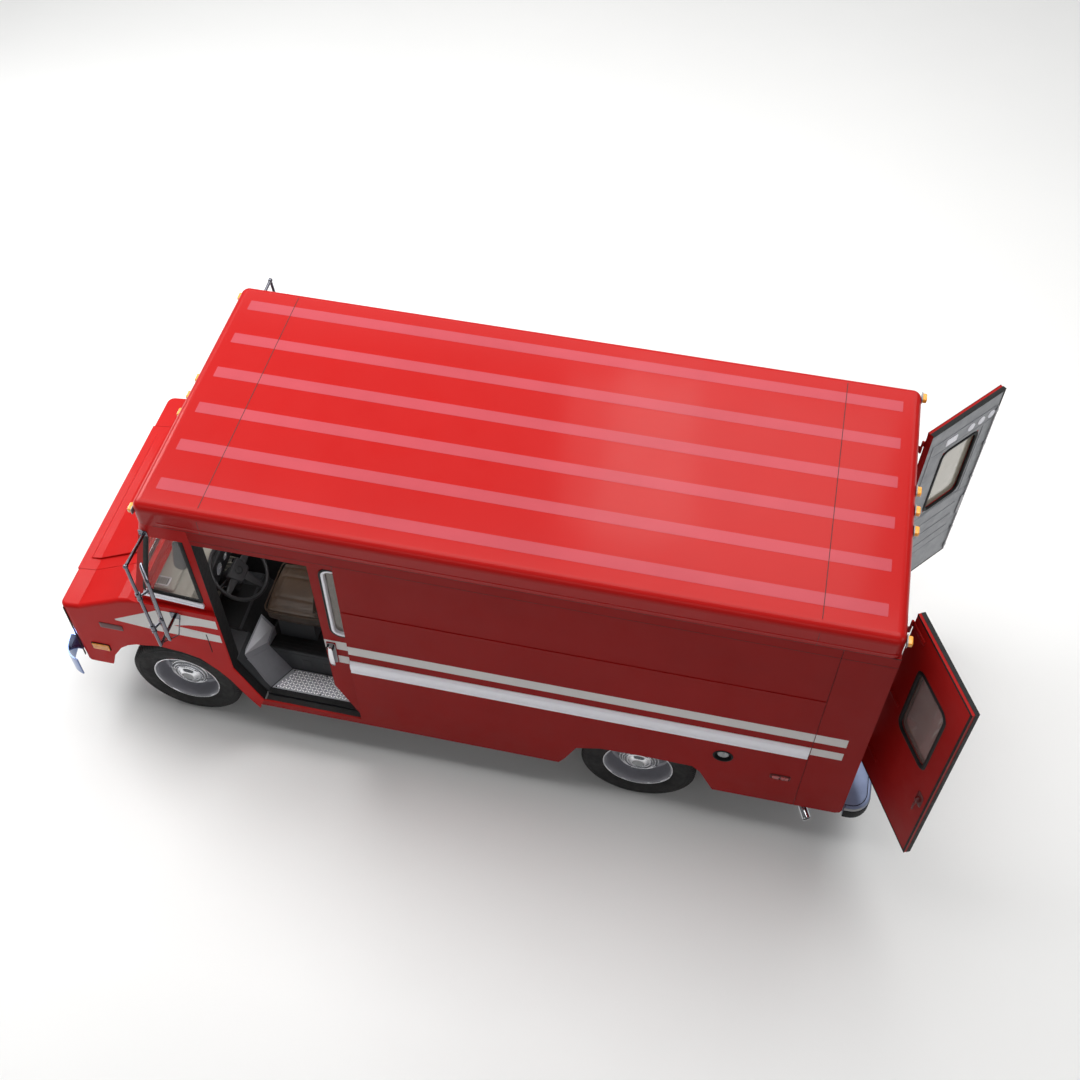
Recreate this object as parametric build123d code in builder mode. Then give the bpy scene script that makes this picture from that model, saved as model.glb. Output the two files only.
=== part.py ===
from build123d import *
import os
from math import cos, radians, sin

os.makedirs("parts", exist_ok=True)

# Mail delivery truck, in millimetres. +X is forward, +Y the vehicle's left, +Z up,
# and z = 0 is the ground under the tyres.

# Running gear
WHEELBASE = 3378
FRONT_AXLE_X = 2220
REAR_AXLE_X = FRONT_AXLE_X - WHEELBASE
AXLE_Z = 413
TYRE_WIDTH = 200
TYRE_CROWN = 5
BEAD_RADIUS = 238
RIM_RADIUS = 251
WHEEL_Y = 852
KINGPIN_Y = 690
SPINDLE_RADIUS = 25
RUNNING_FIT = 0.05
RAIL_Y = 440
RAIL_BOTTOM = 470
RAIL_TOP = 640

# Body
BODY_HALF = 1021
SKIN = 14
BODY_REAR_X = -2587
ROOF_TOP = 2572
ROOF_SEAM = 2390
ROOF_FRONT_X = 2109
EDGE_RADIUS = 62
FLOOR_TOP = 700
FLOOR_BOTTOM = 686
SKIRT_BOTTOM = 390
REAR_SKIRT_BOTTOM = 430
BELT_Z = 1462
COWL_X = 2357
NOSE_FRONT_X = 2957
HOOD_HINGE_X = 2422

# Side door and its opening
OPENING_TOP = 2256
OPENING_KINK_Z = 830
SILL_Z = 455
OPENING_FRONT_TOP_X = 1773
OPENING_FRONT_KINK_X = 1755
OPENING_FRONT_SILL_X = 1588
POCKET_X = 850
DOOR_INNER_Y = 958
DOOR_OUTER_Y = 996
DOOR_LENGTH = 960
LEFT_DOOR_SLID_BACK = 740
HANDLE_PIVOT_Y = 1032
HANDLE_PIVOT_Z = 1361
HANDLE_PIN = 4

# Rear doors
HINGE_X = -2640
HINGE_Y = 723
HINGE_BARREL = 8
REAR_DOOR_BOTTOM = 718
REAR_DOOR_TOP = 2468
REAR_DOOR_WIDTH = 710
REAR_DOOR_THICK = 44
REAR_DOOR_GAP = 8
LEFT_REAR_OPEN = 153
RIGHT_REAR_OPEN = 140
REAR_WINDOW = (210, 560, 1545, 2165)

# Cab
STEP_Z = 460
STEP_INNER_Y = 718
STEP_OUTER_Y = 945
FIREWALL_X = 2100
TOEBOARD_TOP = 870
SEAT_Y = 455
STEERING_CENTRE = (1800, 525, 1335)
COLUMN_ANGLE = 50
GLASS = 6
PEDAL_PIVOT_Z = 1080
PEDAL_PIVOTS = {"brake_pedal": (1960, 412), "accelerator_pedal": (1975, 292)}
VISOR_ROD = (2030, 2262)
VISOR_ENDS = (270, 850)

# Mirrors
MIRROR_Y = 1332
ARM_RADIUS = 11
MIRROR_TURN = (0.785, 0.62)

# Lines of the windshield plane, from the cowl up to the roof
SLOPE_X = ROOF_FRONT_X - COWL_X
SLOPE_Z = 2361 - BELT_Z
SLOPE = (SLOPE_X**2 + SLOPE_Z**2) ** 0.5
WINDSHIELD_UP = (SLOPE_X / SLOPE, 0, SLOPE_Z / SLOPE)
WINDSHIELD_OUT = (SLOPE_Z / SLOPE, 0, -SLOPE_X / SLOPE)


def block(x, y, z, mode=Mode.ADD):
    """A box between (low, high) pairs along X, Y and Z."""
    with Locations(((x[0] + x[1]) / 2, (y[0] + y[1]) / 2, (z[0] + z[1]) / 2)):
        Box(x[1] - x[0], y[1] - y[0], z[1] - z[0], mode=mode)


def slab(points, y, mode=Mode.ADD):
    """An outline of (x, z) points, extruded between the two values of y."""
    with BuildSketch(Plane.XZ.offset(-y[1])) as outline:
        with BuildLine():
            Polyline(*points, close=True)
        make_face()
    extrude(outline.sketch, amount=y[1] - y[0], mode=mode)


def bar(start, end, radius, mode=Mode.ADD):
    """A round bar between two points."""
    path = Vector(*end) - Vector(*start)
    with BuildSketch(Plane(origin=start, z_dir=path)) as section:
        Circle(radius)
    extrude(section.sketch, amount=path.length, mode=mode)


def both_sides(y):
    """A (low, high) pair of y on the left, and its mirror image."""
    return (y, (-y[1], -y[0]))


def on_side(side, y):
    """A (low, high) pair of y, on the left for side 1 or on the right for side -1."""
    return y if side > 0 else (-y[1], -y[0])


# ---------------------------------------------------------------- wheels

def tyre_profile(y_mid, x_mid):
    """Half section of a tyre: sidewalls, crowned tread with three grooves, hollow inside."""
    half = TYRE_WIDTH / 2
    top = AXLE_Z * 2
    with BuildSketch(Plane.YZ.offset(x_mid)) as section:
        with BuildLine():
            Polyline(
                (y_mid - 60, AXLE_Z + BEAD_RADIUS),
                (y_mid - 80, AXLE_Z + BEAD_RADIUS),
                (y_mid - 80, AXLE_Z + RIM_RADIUS + 3),
            )
            ThreePointArc(
                (y_mid - 80, AXLE_Z + RIM_RADIUS + 3),
                (y_mid - half, AXLE_Z + 318),
                (y_mid - 92, AXLE_Z + 385),
            )
            Line((y_mid - 92, AXLE_Z + 385), (y_mid - 76, top - TYRE_CROWN))
            ThreePointArc((y_mid - 76, top - TYRE_CROWN), (y_mid, top), (y_mid + 76, top - TYRE_CROWN))
            Line((y_mid + 76, top - TYRE_CROWN), (y_mid + 92, AXLE_Z + 385))
            ThreePointArc(
                (y_mid + 92, AXLE_Z + 385),
                (y_mid + half, AXLE_Z + 318),
                (y_mid + 80, AXLE_Z + RIM_RADIUS + 3),
            )
            Polyline(
                (y_mid + 80, AXLE_Z + RIM_RADIUS + 3),
                (y_mid + 80, AXLE_Z + BEAD_RADIUS),
                (y_mid + 60, AXLE_Z + BEAD_RADIUS),
                (y_mid + 88, AXLE_Z + 320),
                (y_mid + 78, AXLE_Z + 382),
                (y_mid - 78, AXLE_Z + 382),
                (y_mid - 88, AXLE_Z + 320),
                (y_mid - 60, AXLE_Z + BEAD_RADIUS),
            )
        make_face()
        with Locations(*[(y_mid + step, top) for step in (-38, 0, 38)]):
            Rectangle(7, 18, mode=Mode.SUBTRACT)
    return section.sketch


def wheel_profile(side, x_mid):
    """Half section of rim, deep dish, hub and brake drum; offsets run outwards from the tyre's middle."""
    points = [
        (-80, RIM_RADIUS), (-87, RIM_RADIUS), (-87, 230), (-30, 230), (-48, 150), (-40, 112),
        (-52, 112), (-60, 166), (-135, 166), (-135, 158), (-62, 152), (-62, 62), (-96, 60),
        (-96, SPINDLE_RADIUS + RUNNING_FIT), (4, SPINDLE_RADIUS + RUNNING_FIT), (4, 0), (26, 0),
        (26, 34), (18, 62), (-10, 92), (-30, 104), (-38, 160), (-22, 230), (87, 230),
        (87, RIM_RADIUS), (80, RIM_RADIUS), (80, BEAD_RADIUS), (-80, BEAD_RADIUS),
    ]
    with BuildSketch(Plane.YZ.offset(x_mid)) as section:
        with BuildLine():
            Polyline(*[(side * (WHEEL_Y + out), AXLE_Z + r) for out, r in points], close=True)
        make_face()
    return section.sketch


def make_wheels():
    corners = {
        "front_left": (FRONT_AXLE_X, 1),
        "front_right": (FRONT_AXLE_X, -1),
        "rear_left": (REAR_AXLE_X, 1),
        "rear_right": (REAR_AXLE_X, -1),
    }
    for corner, (x_mid, side) in corners.items():
        axis = Axis((x_mid, 0, AXLE_Z), (0, 1, 0))
        with BuildPart() as tyre:
            revolve(tyre_profile(side * WHEEL_Y, x_mid), axis)
        tyre.part.label = f"{corner}_tyre"
        export_step(tyre.part, f"parts/{corner}_tyre.step")
        with BuildPart() as wheel:
            revolve(wheel_profile(side, x_mid), axis)
        wheel.part.label = f"{corner}_wheel"
        export_step(wheel.part, f"parts/{corner}_wheel.step")


# ---------------------------------------------------------------- axles, springs, steering

def make_front_axle():
    beam_low, beam_high = 292, 352
    boss_low, boss_high = 378, 448
    with BuildPart() as beam:
        with BuildSketch(Plane.YZ.offset(FRONT_AXLE_X - 28)) as outline:
            with BuildLine():
                Polyline(
                    (-KINGPIN_Y, boss_low + 8), (-KINGPIN_Y + 60, boss_low + 4), (-480, beam_low),
                    (480, beam_low), (KINGPIN_Y - 60, boss_low + 4), (KINGPIN_Y, boss_low + 8),
                    (KINGPIN_Y, boss_high - 8), (KINGPIN_Y - 70, boss_high - 8), (500, beam_high),
                    (-500, beam_high), (-KINGPIN_Y + 70, boss_high - 8), (-KINGPIN_Y, boss_high - 8),
                    close=True,
                )
            make_face()
        extrude(outline.sketch, amount=56)
        for x in ((FRONT_AXLE_X - 28, FRONT_AXLE_X - 10), (FRONT_AXLE_X + 10, FRONT_AXLE_X + 28)):
            block(x, (-460, 460), (beam_low + 14, beam_high - 14), Mode.SUBTRACT)
        with Locations(*[(FRONT_AXLE_X, side * KINGPIN_Y, (boss_low + boss_high) / 2) for side in (1, -1)]):
            Cylinder(36, boss_high - boss_low)
            Cylinder(18 + RUNNING_FIT, boss_high - boss_low, mode=Mode.SUBTRACT)
    beam.part.label = "front_axle_beam"
    export_step(beam.part, "parts/front_axle_beam.step")


def make_knuckles():
    for name, side in (("left_knuckle", 1), ("right_knuckle", -1)):
        pin_y = side * KINGPIN_Y
        with BuildPart() as knuckle:
            with Locations((FRONT_AXLE_X, pin_y, AXLE_Z)):
                Cylinder(18, 150)
            for z in ((338, 376), (450, 488)):
                block((FRONT_AXLE_X - 34, FRONT_AXLE_X + 34),
                      on_side(side, (KINGPIN_Y - 30, KINGPIN_Y + 60)), z)
            block((FRONT_AXLE_X - 34, FRONT_AXLE_X + 34), on_side(side, (KINGPIN_Y + 42, KINGPIN_Y + 60)),
                  (338, 488))
            bar((FRONT_AXLE_X, side * (KINGPIN_Y + 58), AXLE_Z), (FRONT_AXLE_X, side * (WHEEL_Y - 2), AXLE_Z),
                SPINDLE_RADIUS)
            block((FRONT_AXLE_X - 190, FRONT_AXLE_X - 30), on_side(side, (KINGPIN_Y - 26, KINGPIN_Y)),
                  (344, 366))
            with Locations((FRONT_AXLE_X - 190, side * (KINGPIN_Y - 13), 355)):
                Cylinder(22, 30)
        knuckle.part.label = name
        export_step(knuckle.part, f"parts/{name}.step")


def make_rear_axle():
    with BuildPart() as housing:
        for side in (1, -1):
            bar((REAR_AXLE_X, 0, AXLE_Z), (REAR_AXLE_X, side * 735, AXLE_Z), 44)
            bar((REAR_AXLE_X, side * 735, AXLE_Z), (REAR_AXLE_X, side * (WHEEL_Y - 2), AXLE_Z),
                SPINDLE_RADIUS)
        with Locations((REAR_AXLE_X, 0, AXLE_Z)):
            Sphere(140)
        bar((REAR_AXLE_X, 0, AXLE_Z), (REAR_AXLE_X + 250, 0, AXLE_Z), 70)
        bar((REAR_AXLE_X + 250, 0, AXLE_Z), (REAR_AXLE_X + 290, 0, AXLE_Z), 48)
    housing.part.label = "rear_axle_housing"
    export_step(housing.part, "parts/rear_axle_housing.step")


def leaf(x_mid, y, z_seat, half_length, rise):
    """One curved leaf, lowest at its middle."""
    thick = 9
    with BuildSketch(Plane.XZ.offset(-y[1])) as outline:
        with BuildLine():
            ThreePointArc((x_mid - half_length, z_seat + rise), (x_mid, z_seat),
                          (x_mid + half_length, z_seat + rise))
            Line((x_mid + half_length, z_seat + rise), (x_mid + half_length, z_seat + rise + thick))
            ThreePointArc(
                (x_mid + half_length, z_seat + rise + thick),
                (x_mid, z_seat + thick),
                (x_mid - half_length, z_seat + rise + thick),
            )
            Line((x_mid - half_length, z_seat + rise + thick), (x_mid - half_length, z_seat + rise))
        make_face()
    extrude(outline.sketch, amount=y[1] - y[0])


def make_leaf_springs():
    packs = ((FRONT_AXLE_X, 352, 520, 56, (376, 440)), (REAR_AXLE_X, 330, 560, 72, (452, 516)))
    with BuildPart() as springs:
        for x_mid, z_seat, half_length, camber, y_left in packs:
            curve = camber / half_length**2
            for y in both_sides(y_left):
                for step in range(4):
                    reach = half_length * (1 - 0.2 * (3 - step))
                    leaf(x_mid, y, z_seat + 9 * step, reach, curve * reach**2)
                eye_z = z_seat + 27 + camber + 14
                for end in (-1, 1):
                    x_eye = x_mid + end * half_length
                    bar((x_eye, y[0], eye_z), (x_eye, y[1], eye_z), 18)
    springs.part.label = "leaf_springs"
    export_step(springs.part, "parts/leaf_springs.step")


def make_driveshaft():
    rear = Vector(REAR_AXLE_X + 293, 0, AXLE_Z)
    front = Vector(1178, 0, 520)
    along = (front - rear).normalized()
    with BuildPart() as shaft:
        bar(rear + along * 40, front - along * 40, 38)
        for start, stop in ((rear, rear + along * 14), (front - along * 14, front)):
            bar(start, stop, 52)
        for start, stop in ((rear + along * 14, rear + along * 60), (front - along * 60, front - along * 14)):
            bar(start, stop, 30)
    shaft.part.label = "driveshaft"
    export_step(shaft.part, "parts/driveshaft.step")


# ---------------------------------------------------------------- frame, engine, tank, exhaust

def make_chassis_frame():
    rail_front, rail_rear = 2860, -2535
    flange, web = 66, 7
    cross_x = (-2480, -1660, -620, 300, 1090)
    with BuildPart() as frame:
        for side in (1, -1):
            block((rail_rear, rail_front), on_side(side, (RAIL_Y - web, RAIL_Y)), (RAIL_BOTTOM, RAIL_TOP))
            for z in ((RAIL_BOTTOM, RAIL_BOTTOM + web), (RAIL_TOP - web, RAIL_TOP)):
                block((rail_rear, rail_front), on_side(side, (RAIL_Y - flange, RAIL_Y)), z)
        for x in cross_x:
            block((x - 35, x + 35), (-RAIL_Y + web, RAIL_Y - web), (RAIL_TOP - web - 60, RAIL_TOP - web))
        block((2765, 2825), (-RAIL_Y + web, RAIL_Y - web), (480, 540))
        for x in (-2400, -1620, -450, 150, 800):
            block((x - 30, x + 30), (-STEP_INNER_Y + 12, STEP_INNER_Y - 12), (RAIL_TOP, FLOOR_BOTTOM))
        for x_mid, half_length, y_left in ((FRONT_AXLE_X, 520, (376, 440)), (REAR_AXLE_X, 560, (452, 516))):
            for end in (-1, 1):
                x = x_mid + end * half_length
                for y in both_sides(y_left):
                    block((x - 26, x + 26), y, (467.5, RAIL_BOTTOM + 2) if x_mid > 0 else (461.5, 487))
                    if x_mid < 0:
                        inner = (RAIL_Y, y_left[1]) if y[0] > 0 else (-y_left[1], -RAIL_Y)
                        block((x - 26, x + 26), inner, (486, 560))
        for side in (1, -1):
            block((2860, 2960), on_side(side, (RAIL_Y - 60, RAIL_Y)), (500, 560))
            block((-2602, rail_rear), on_side(side, (RAIL_Y - 60, RAIL_Y)), (470, 488))
    frame.part.label = "chassis_frame"
    export_step(frame.part, "parts/chassis_frame.step")


def make_engine():
    """Engine with its gearbox and fan, and the radiator ahead of it."""
    crank_z, fan_z, fan_x = 560, 800, 2680
    with BuildPart() as engine:
        block((2130, 2620), (-150, 150), (470, 800))
        block((2180, 2580), (-115, 115), (405, 470))
        for side in (1, -1):
            block((2140, 2600), on_side(side, (110, 300)), (740, 920))
            with Locations((2370, side * 210, 942)):
                Box(440, 130, 46)
            bar((2200, side * 300, 640), (2540, side * 300, 640), 34)
            block((2200, 2540), on_side(side, (140, 300)), (610, 670))
        block((2200, 2540), (-112, 112), (798, 960))
        bar((2370, 0, 955), (2370, 0, 1004), 70)
        bar((2370, 0, 1000), (2370, 0, 1085), 185)
        bar((2620, 0, crank_z), (2655, 0, crank_z), 90)
        bar((2620, 0, fan_z), (2672, 0, fan_z), 60)
        bar((2672, 0, fan_z), (2704, 0, fan_z), 40)
        for turn in range(5):
            angle = radians(72 * turn)
            blade_plane = Plane(origin=(fan_x, 0, fan_z), x_dir=(0, cos(angle), sin(angle)), z_dir=(1, 0, 0))
            with BuildSketch(blade_plane) as blade:
                with Locations((125, 0)):
                    Rectangle(190, 80)
            extrude(blade.sketch, amount=8)
        bar((2130, 0, crank_z), (1960, 0, crank_z), 185)
        bar((1960, 0, crank_z), (1520, 0, crank_z - 20), 120)
        bar((1525, 0, crank_z - 20), (1210, 0, 522), 72)
        bar((1212, 0, 522), (1182, 0, 521), 46)
        block((2770, 2820), (-330, 330), (585, 1040))
        block((2755, 2835), (-345, 345), (541, 586))
        block((2755, 2835), (-345, 345), (1039, 1090))
        bar((2795, 180, 1089), (2795, 180, 1120), 35)
    engine.part.label = "engine"
    export_step(engine.part, "parts/engine.step")


def make_fuel_tank():
    """Tank between the rails, with its filler neck and the dished cup in the left side."""
    filler_x, filler_z = -1719, 917
    with BuildPart() as tank:
        block((-2380, -1840), (-365, 365), (405, 624))
        fillet(tank.edges().filter_by(Axis.X), 30)
        with BuildSketch(Plane(origin=(filler_x, 1007, filler_z), z_dir=(0, -1, 0))) as cup:
            Circle(62)
        extrude(cup.sketch, amount=46)
        with BuildSketch(Plane(origin=(filler_x, 1007, filler_z), z_dir=(0, -1, 0))) as hollow:
            Circle(56)
        extrude(hollow.sketch, amount=40, mode=Mode.SUBTRACT)
        bar((filler_x, 975, filler_z), (filler_x, 967, filler_z), 30)
        neck = [(filler_x, 962, filler_z), (filler_x, 905, filler_z), (filler_x, 905, 663), (-1770, 330, 663),
                (-1900, 330, 610)]
        for start, stop in zip(neck, neck[1:]):
            bar(start, stop, 19)
            with Locations(stop):
                Sphere(19)
    tank.part.label = "fuel_tank"
    export_step(tank.part, "parts/fuel_tank.step")
    with BuildPart() as cap:
        bar((filler_x, 976, filler_z), (filler_x, 992, filler_z), 40)
        fillet(cap.edges().group_by(Axis.Y)[-1], 5)
        block((filler_x - 30, filler_x + 30), (992, 1003), (filler_z - 7, filler_z + 7))
    cap.part.label = "fuel_cap"
    export_step(cap.part, "parts/fuel_cap.step")


def make_exhaust():
    pipe = 25
    route = [(2200, 300, 441), (2050, 330, 430), (1600, 330, 430), (1440, 560, 430), (1300, 600, 530),
             (500, 600, 530), (-250, 600, 530), (-700, 600, 560), (-1500, 600, 560), (-2050, 600, 450),
             (-2200, 700, 400), (-2345, 1000, 345)]
    with BuildPart() as exhaust:
        for start, stop in zip(route, route[1:]):
            bar(start, stop, pipe)
            with Locations(stop):
                Sphere(pipe)
        bar((1690, 330, 430), (1590, 330, 430), pipe + 6)
        bar((440, 600, 530), (-210, 600, 530), 95)
        bar((-2290, 890, 366), (-2362, 1036, 338), pipe + 5)
        bar((-2300, 910, 362), (-2372, 1056, 334), pipe - 4, Mode.SUBTRACT)
    exhaust.part.label = "exhaust_system"
    export_step(exhaust.part, "parts/exhaust_system.step")


def make_bumpers():
    low, high, thick = 436, 628, 8
    with BuildPart() as front:
        with BuildSketch(Plane.XY.offset(low)) as outline:
            with BuildLine():
                Spline((2972, 1082), (3068, 1025), (3112, 880), (3125, 0), (3112, -880), (3068, -1025),
                       (2972, -1082))
                Line((2972, -1082), (2966, -1074))
                Spline((2966, -1074), (3060, -1018), (3104, -876), (3117, 0), (3104, 876), (3060, 1018),
                       (2966, 1074))
                Line((2966, 1074), (2972, 1082))
            make_face()
        extrude(outline.sketch, amount=high - low)
        for side in (1, -1):
            block((2960, 3129), on_side(side, (RAIL_Y - 55, RAIL_Y - 5)), (505, 560))
        for z in ((low, low + thick), (high - thick, high)):
            with BuildSketch(Plane.XY.offset(z[0])) as lip:
                with BuildLine():
                    Spline((3107, 880), (3120, 0), (3107, -880))
                    Polyline((3107, -880), (3062, -880), (3070, 0), (3062, 880), (3107, 880))
                make_face()
            extrude(lip.sketch, amount=thick)
    front.part.label = "front_bumper"
    export_step(front.part, "parts/front_bumper.step")
    with BuildPart() as rear:
        with BuildSketch(Plane.XY.offset(385)) as plan:
            with BuildLine():
                Polyline((-2602, 1006), (-2602, -1006), (-2640, -1006))
                TangentArc((-2640, -1006), (-2772, -860), tangent=(-1, 0))
                Line((-2772, -860), (-2772, 860))
                ThreePointArc((-2772, 860), (-2737, 962), (-2640, 1006))
                Line((-2640, 1006), (-2602, 1006))
            make_face()
        extrude(plan.sketch, amount=120)
        fillet(rear.edges().group_by(Axis.Z)[-1], 14)
        block((-2760, -2610), (-980, 980), (380, 470), Mode.SUBTRACT)
        for y in (-620, 620):
            with Locations((-2690, y, 490)):
                Cylinder(11, 60, mode=Mode.SUBTRACT)
    rear.part.label = "rear_bumper"
    export_step(rear.part, "parts/rear_bumper.step")


# ---------------------------------------------------------------- body shell

def rear_arch():
    """Cut-out over the rear wheel, as (x, z) points from front to rear."""
    return [(-597, SKIRT_BOTTOM - 60), (-600, 385), (-648, 467), (-723, 640), (-890, 698), (-1239, 707),
            (-1530, 702), (-1591, 640), (-1697, 426), (-1700, SKIRT_BOTTOM - 60)]


def front_arch():
    """Cut-out over the front wheel, from the nose back to the slanted door post."""
    return [(2760, 100), (2740, 400), (2726, 567), (2686, 686), (2603, 814), (2537, 872), (2464, 906),
            (2390, 917),
            (2290, 944), (2220, 935), (2114, 922), (1989, 882), (1879, 766), (1800, 650), (1727, 491),
            (1634, 330), (1634, 100)]


def make_side_panels():
    """Outer side with header, sill and pocket edge round the door opening, posts inside."""
    outline = [
        (OPENING_FRONT_TOP_X, ROOF_SEAM), (OPENING_FRONT_TOP_X, OPENING_TOP), (POCKET_X, OPENING_TOP),
        (POCKET_X, SILL_Z), (OPENING_FRONT_SILL_X, SILL_Z), (OPENING_FRONT_SILL_X + 30, SILL_Z - 66),
        (POCKET_X, SKIRT_BOTTOM), (-600, SKIRT_BOTTOM), (-1697, REAR_SKIRT_BOTTOM),
        (BODY_REAR_X + 40, REAR_SKIRT_BOTTOM + 6), (BODY_REAR_X + 10, REAR_SKIRT_BOTTOM + 22),
        (BODY_REAR_X, REAR_SKIRT_BOTTOM + 56), (BODY_REAR_X, ROOF_SEAM),
    ]
    rib_z = 1796
    for name, side in (("left_side_panel", 1), ("right_side_panel", -1)):
        outer = on_side(side, (BODY_HALF - SKIN, BODY_HALF))
        proud = on_side(side, (BODY_HALF - 2, BODY_HALF + 5))
        inside = on_side(side, (BODY_HALF - SKIN - 34, BODY_HALF - SKIN))
        with BuildPart() as panel:
            slab(outline, outer)
            slab([(-2258, rib_z - 12), (844, rib_z - 12), (844, rib_z + 12), (-2258, rib_z + 12)], proud)
            fillet(panel.edges().filter_by(Axis.Y, reverse=True).group_by(SortBy.LENGTH)[0], 1)
            for x in (-2180, -1780, -1380, -980, -580, -180):
                block((x - 25, x + 25), inside, (1010, ROOF_SEAM - 20))
            for x in (-2180, -1780, -380, -180):
                block((x - 25, x + 25), inside, (FLOOR_TOP + 2, 1010))
            block((BODY_REAR_X + 60, -60), inside, (ROOF_SEAM - 60, ROOF_SEAM - 4))
            block((POCKET_X - 790, OPENING_FRONT_TOP_X - 4),
                  on_side(side, (DOOR_INNER_Y - 4, BODY_HALF - SKIN)),
                  (OPENING_TOP + 12, OPENING_TOP + 40))
            slab(rear_arch(), on_side(side, (900, 1100)), Mode.SUBTRACT)
            block((-2262, -2258), on_side(side, (BODY_HALF - 3, BODY_HALF + 10)), (400, ROOF_SEAM),
                  Mode.SUBTRACT)
            if side > 0:
                bar((-1719, 900, 917), (-1719, 1100, 917), 64, Mode.SUBTRACT)
        panel.part.label = name
        export_step(panel.part, f"parts/{name}.step")


def make_rub_rails():
    with BuildPart() as rails:
        for y in both_sides((BODY_HALF, BODY_HALF + 22)):
            block((-2252, 846), y, (1112, 1226))
        fillet(rails.edges().filter_by(Axis.X).group_by(Axis.Y)[0], 16)
        fillet(rails.edges().filter_by(Axis.X).group_by(Axis.Y)[-1], 16)
    rails.part.label = "rub_rails"
    export_step(rails.part, "parts/rub_rails.step")


def roof_block(inset):
    """Rounded roof block, moved in from the outer surface by the inset."""
    radius = EDGE_RADIUS - inset
    with BuildPart() as shape:
        block((BODY_REAR_X + inset, ROOF_FRONT_X - inset), (-BODY_HALF + inset, BODY_HALF - inset),
              (ROOF_SEAM - 40, ROOF_TOP - inset))
        fillet(shape.edges().filter_by(Axis.Z), radius)
        fillet(shape.edges().group_by(Axis.Z)[-1], radius)
    return shape.part


def make_roof():
    with BuildPart() as roof:
        add(roof_block(0))
        add(roof_block(SKIN), mode=Mode.SUBTRACT)
        block((BODY_REAR_X - 50, ROOF_FRONT_X + 50), (-1100, 1100), (ROOF_SEAM - 60, ROOF_SEAM),
              Mode.SUBTRACT)
        for x in (-2200, -1600, -1000, -400, 200, 800, 1400):
            block((x - 20, x + 20), (-980, 980), (ROOF_TOP - SKIN - 30, ROOF_TOP - SKIN))
        for x in (1680, -2099):
            block((x - 1.5, x + 1.5), (-1010, 1010), (ROOF_TOP - 2, ROOF_TOP + 5), Mode.SUBTRACT)
    roof.part.label = "roof"
    export_step(roof.part, "parts/roof.step")


def make_rear_frame():
    """Posts, header and sill round the rear doorway, with the hinge lugs."""
    depth = (BODY_REAR_X, BODY_REAR_X + 46)
    half = BODY_HALF - SKIN
    lugs = (900, 1600, 2300)
    with BuildPart() as frame:
        block(depth, (-half, half), (REAR_SKIRT_BOTTOM + 60, ROOF_SEAM))
        block(depth, (-690, 690), (742, ROOF_SEAM - 36), Mode.SUBTRACT)
        for side in (1, -1):
            for z in lugs:
                block((HINGE_X, BODY_REAR_X), on_side(side, (HINGE_Y + 3, HINGE_Y + 11)), (z - 26, z + 26))
                bar((HINGE_X, side * HINGE_Y, z), (HINGE_X, side * HINGE_Y, z + 84), 4)
                with Locations((HINGE_X, side * HINGE_Y, z)):
                    Cylinder(HINGE_BARREL, 52)
    frame.part.label = "rear_frame"
    export_step(frame.part, "parts/rear_frame.step")


def make_cargo_floor():
    with BuildPart() as floor:
        block((BODY_REAR_X + 50, 20), (-1006, 1006), (FLOOR_BOTTOM, FLOOR_TOP))
        block((20, POCKET_X), (-STEP_OUTER_Y, STEP_OUTER_Y), (FLOOR_BOTTOM, FLOOR_TOP))
        for side in (1, -1):
            block((REAR_AXLE_X - 480, REAR_AXLE_X + 480), on_side(side, (690, 972)), (FLOOR_TOP, 935))
            block((REAR_AXLE_X - 466, REAR_AXLE_X + 466), on_side(side, (704, 1010)), (FLOOR_BOTTOM - 5, 921),
                  Mode.SUBTRACT)
        block((-1800, REAR_AXLE_X - 480), (860, 956), (FLOOR_TOP, 1000))
        block((-1790, REAR_AXLE_X - 490), (870, 1000), (FLOOR_BOTTOM - 5, 990), Mode.SUBTRACT)
        block((-1760, -1680), (868, 950), (FLOOR_BOTTOM - 5, FLOOR_TOP + 10), Mode.SUBTRACT)
        for y in range(-600, 601, 150):
            block((BODY_REAR_X + 60, 700), (y - 12, y + 12), (FLOOR_TOP, FLOOR_TOP + 4))
    floor.part.label = "cargo_floor"
    export_step(floor.part, "parts/cargo_floor.step")


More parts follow.
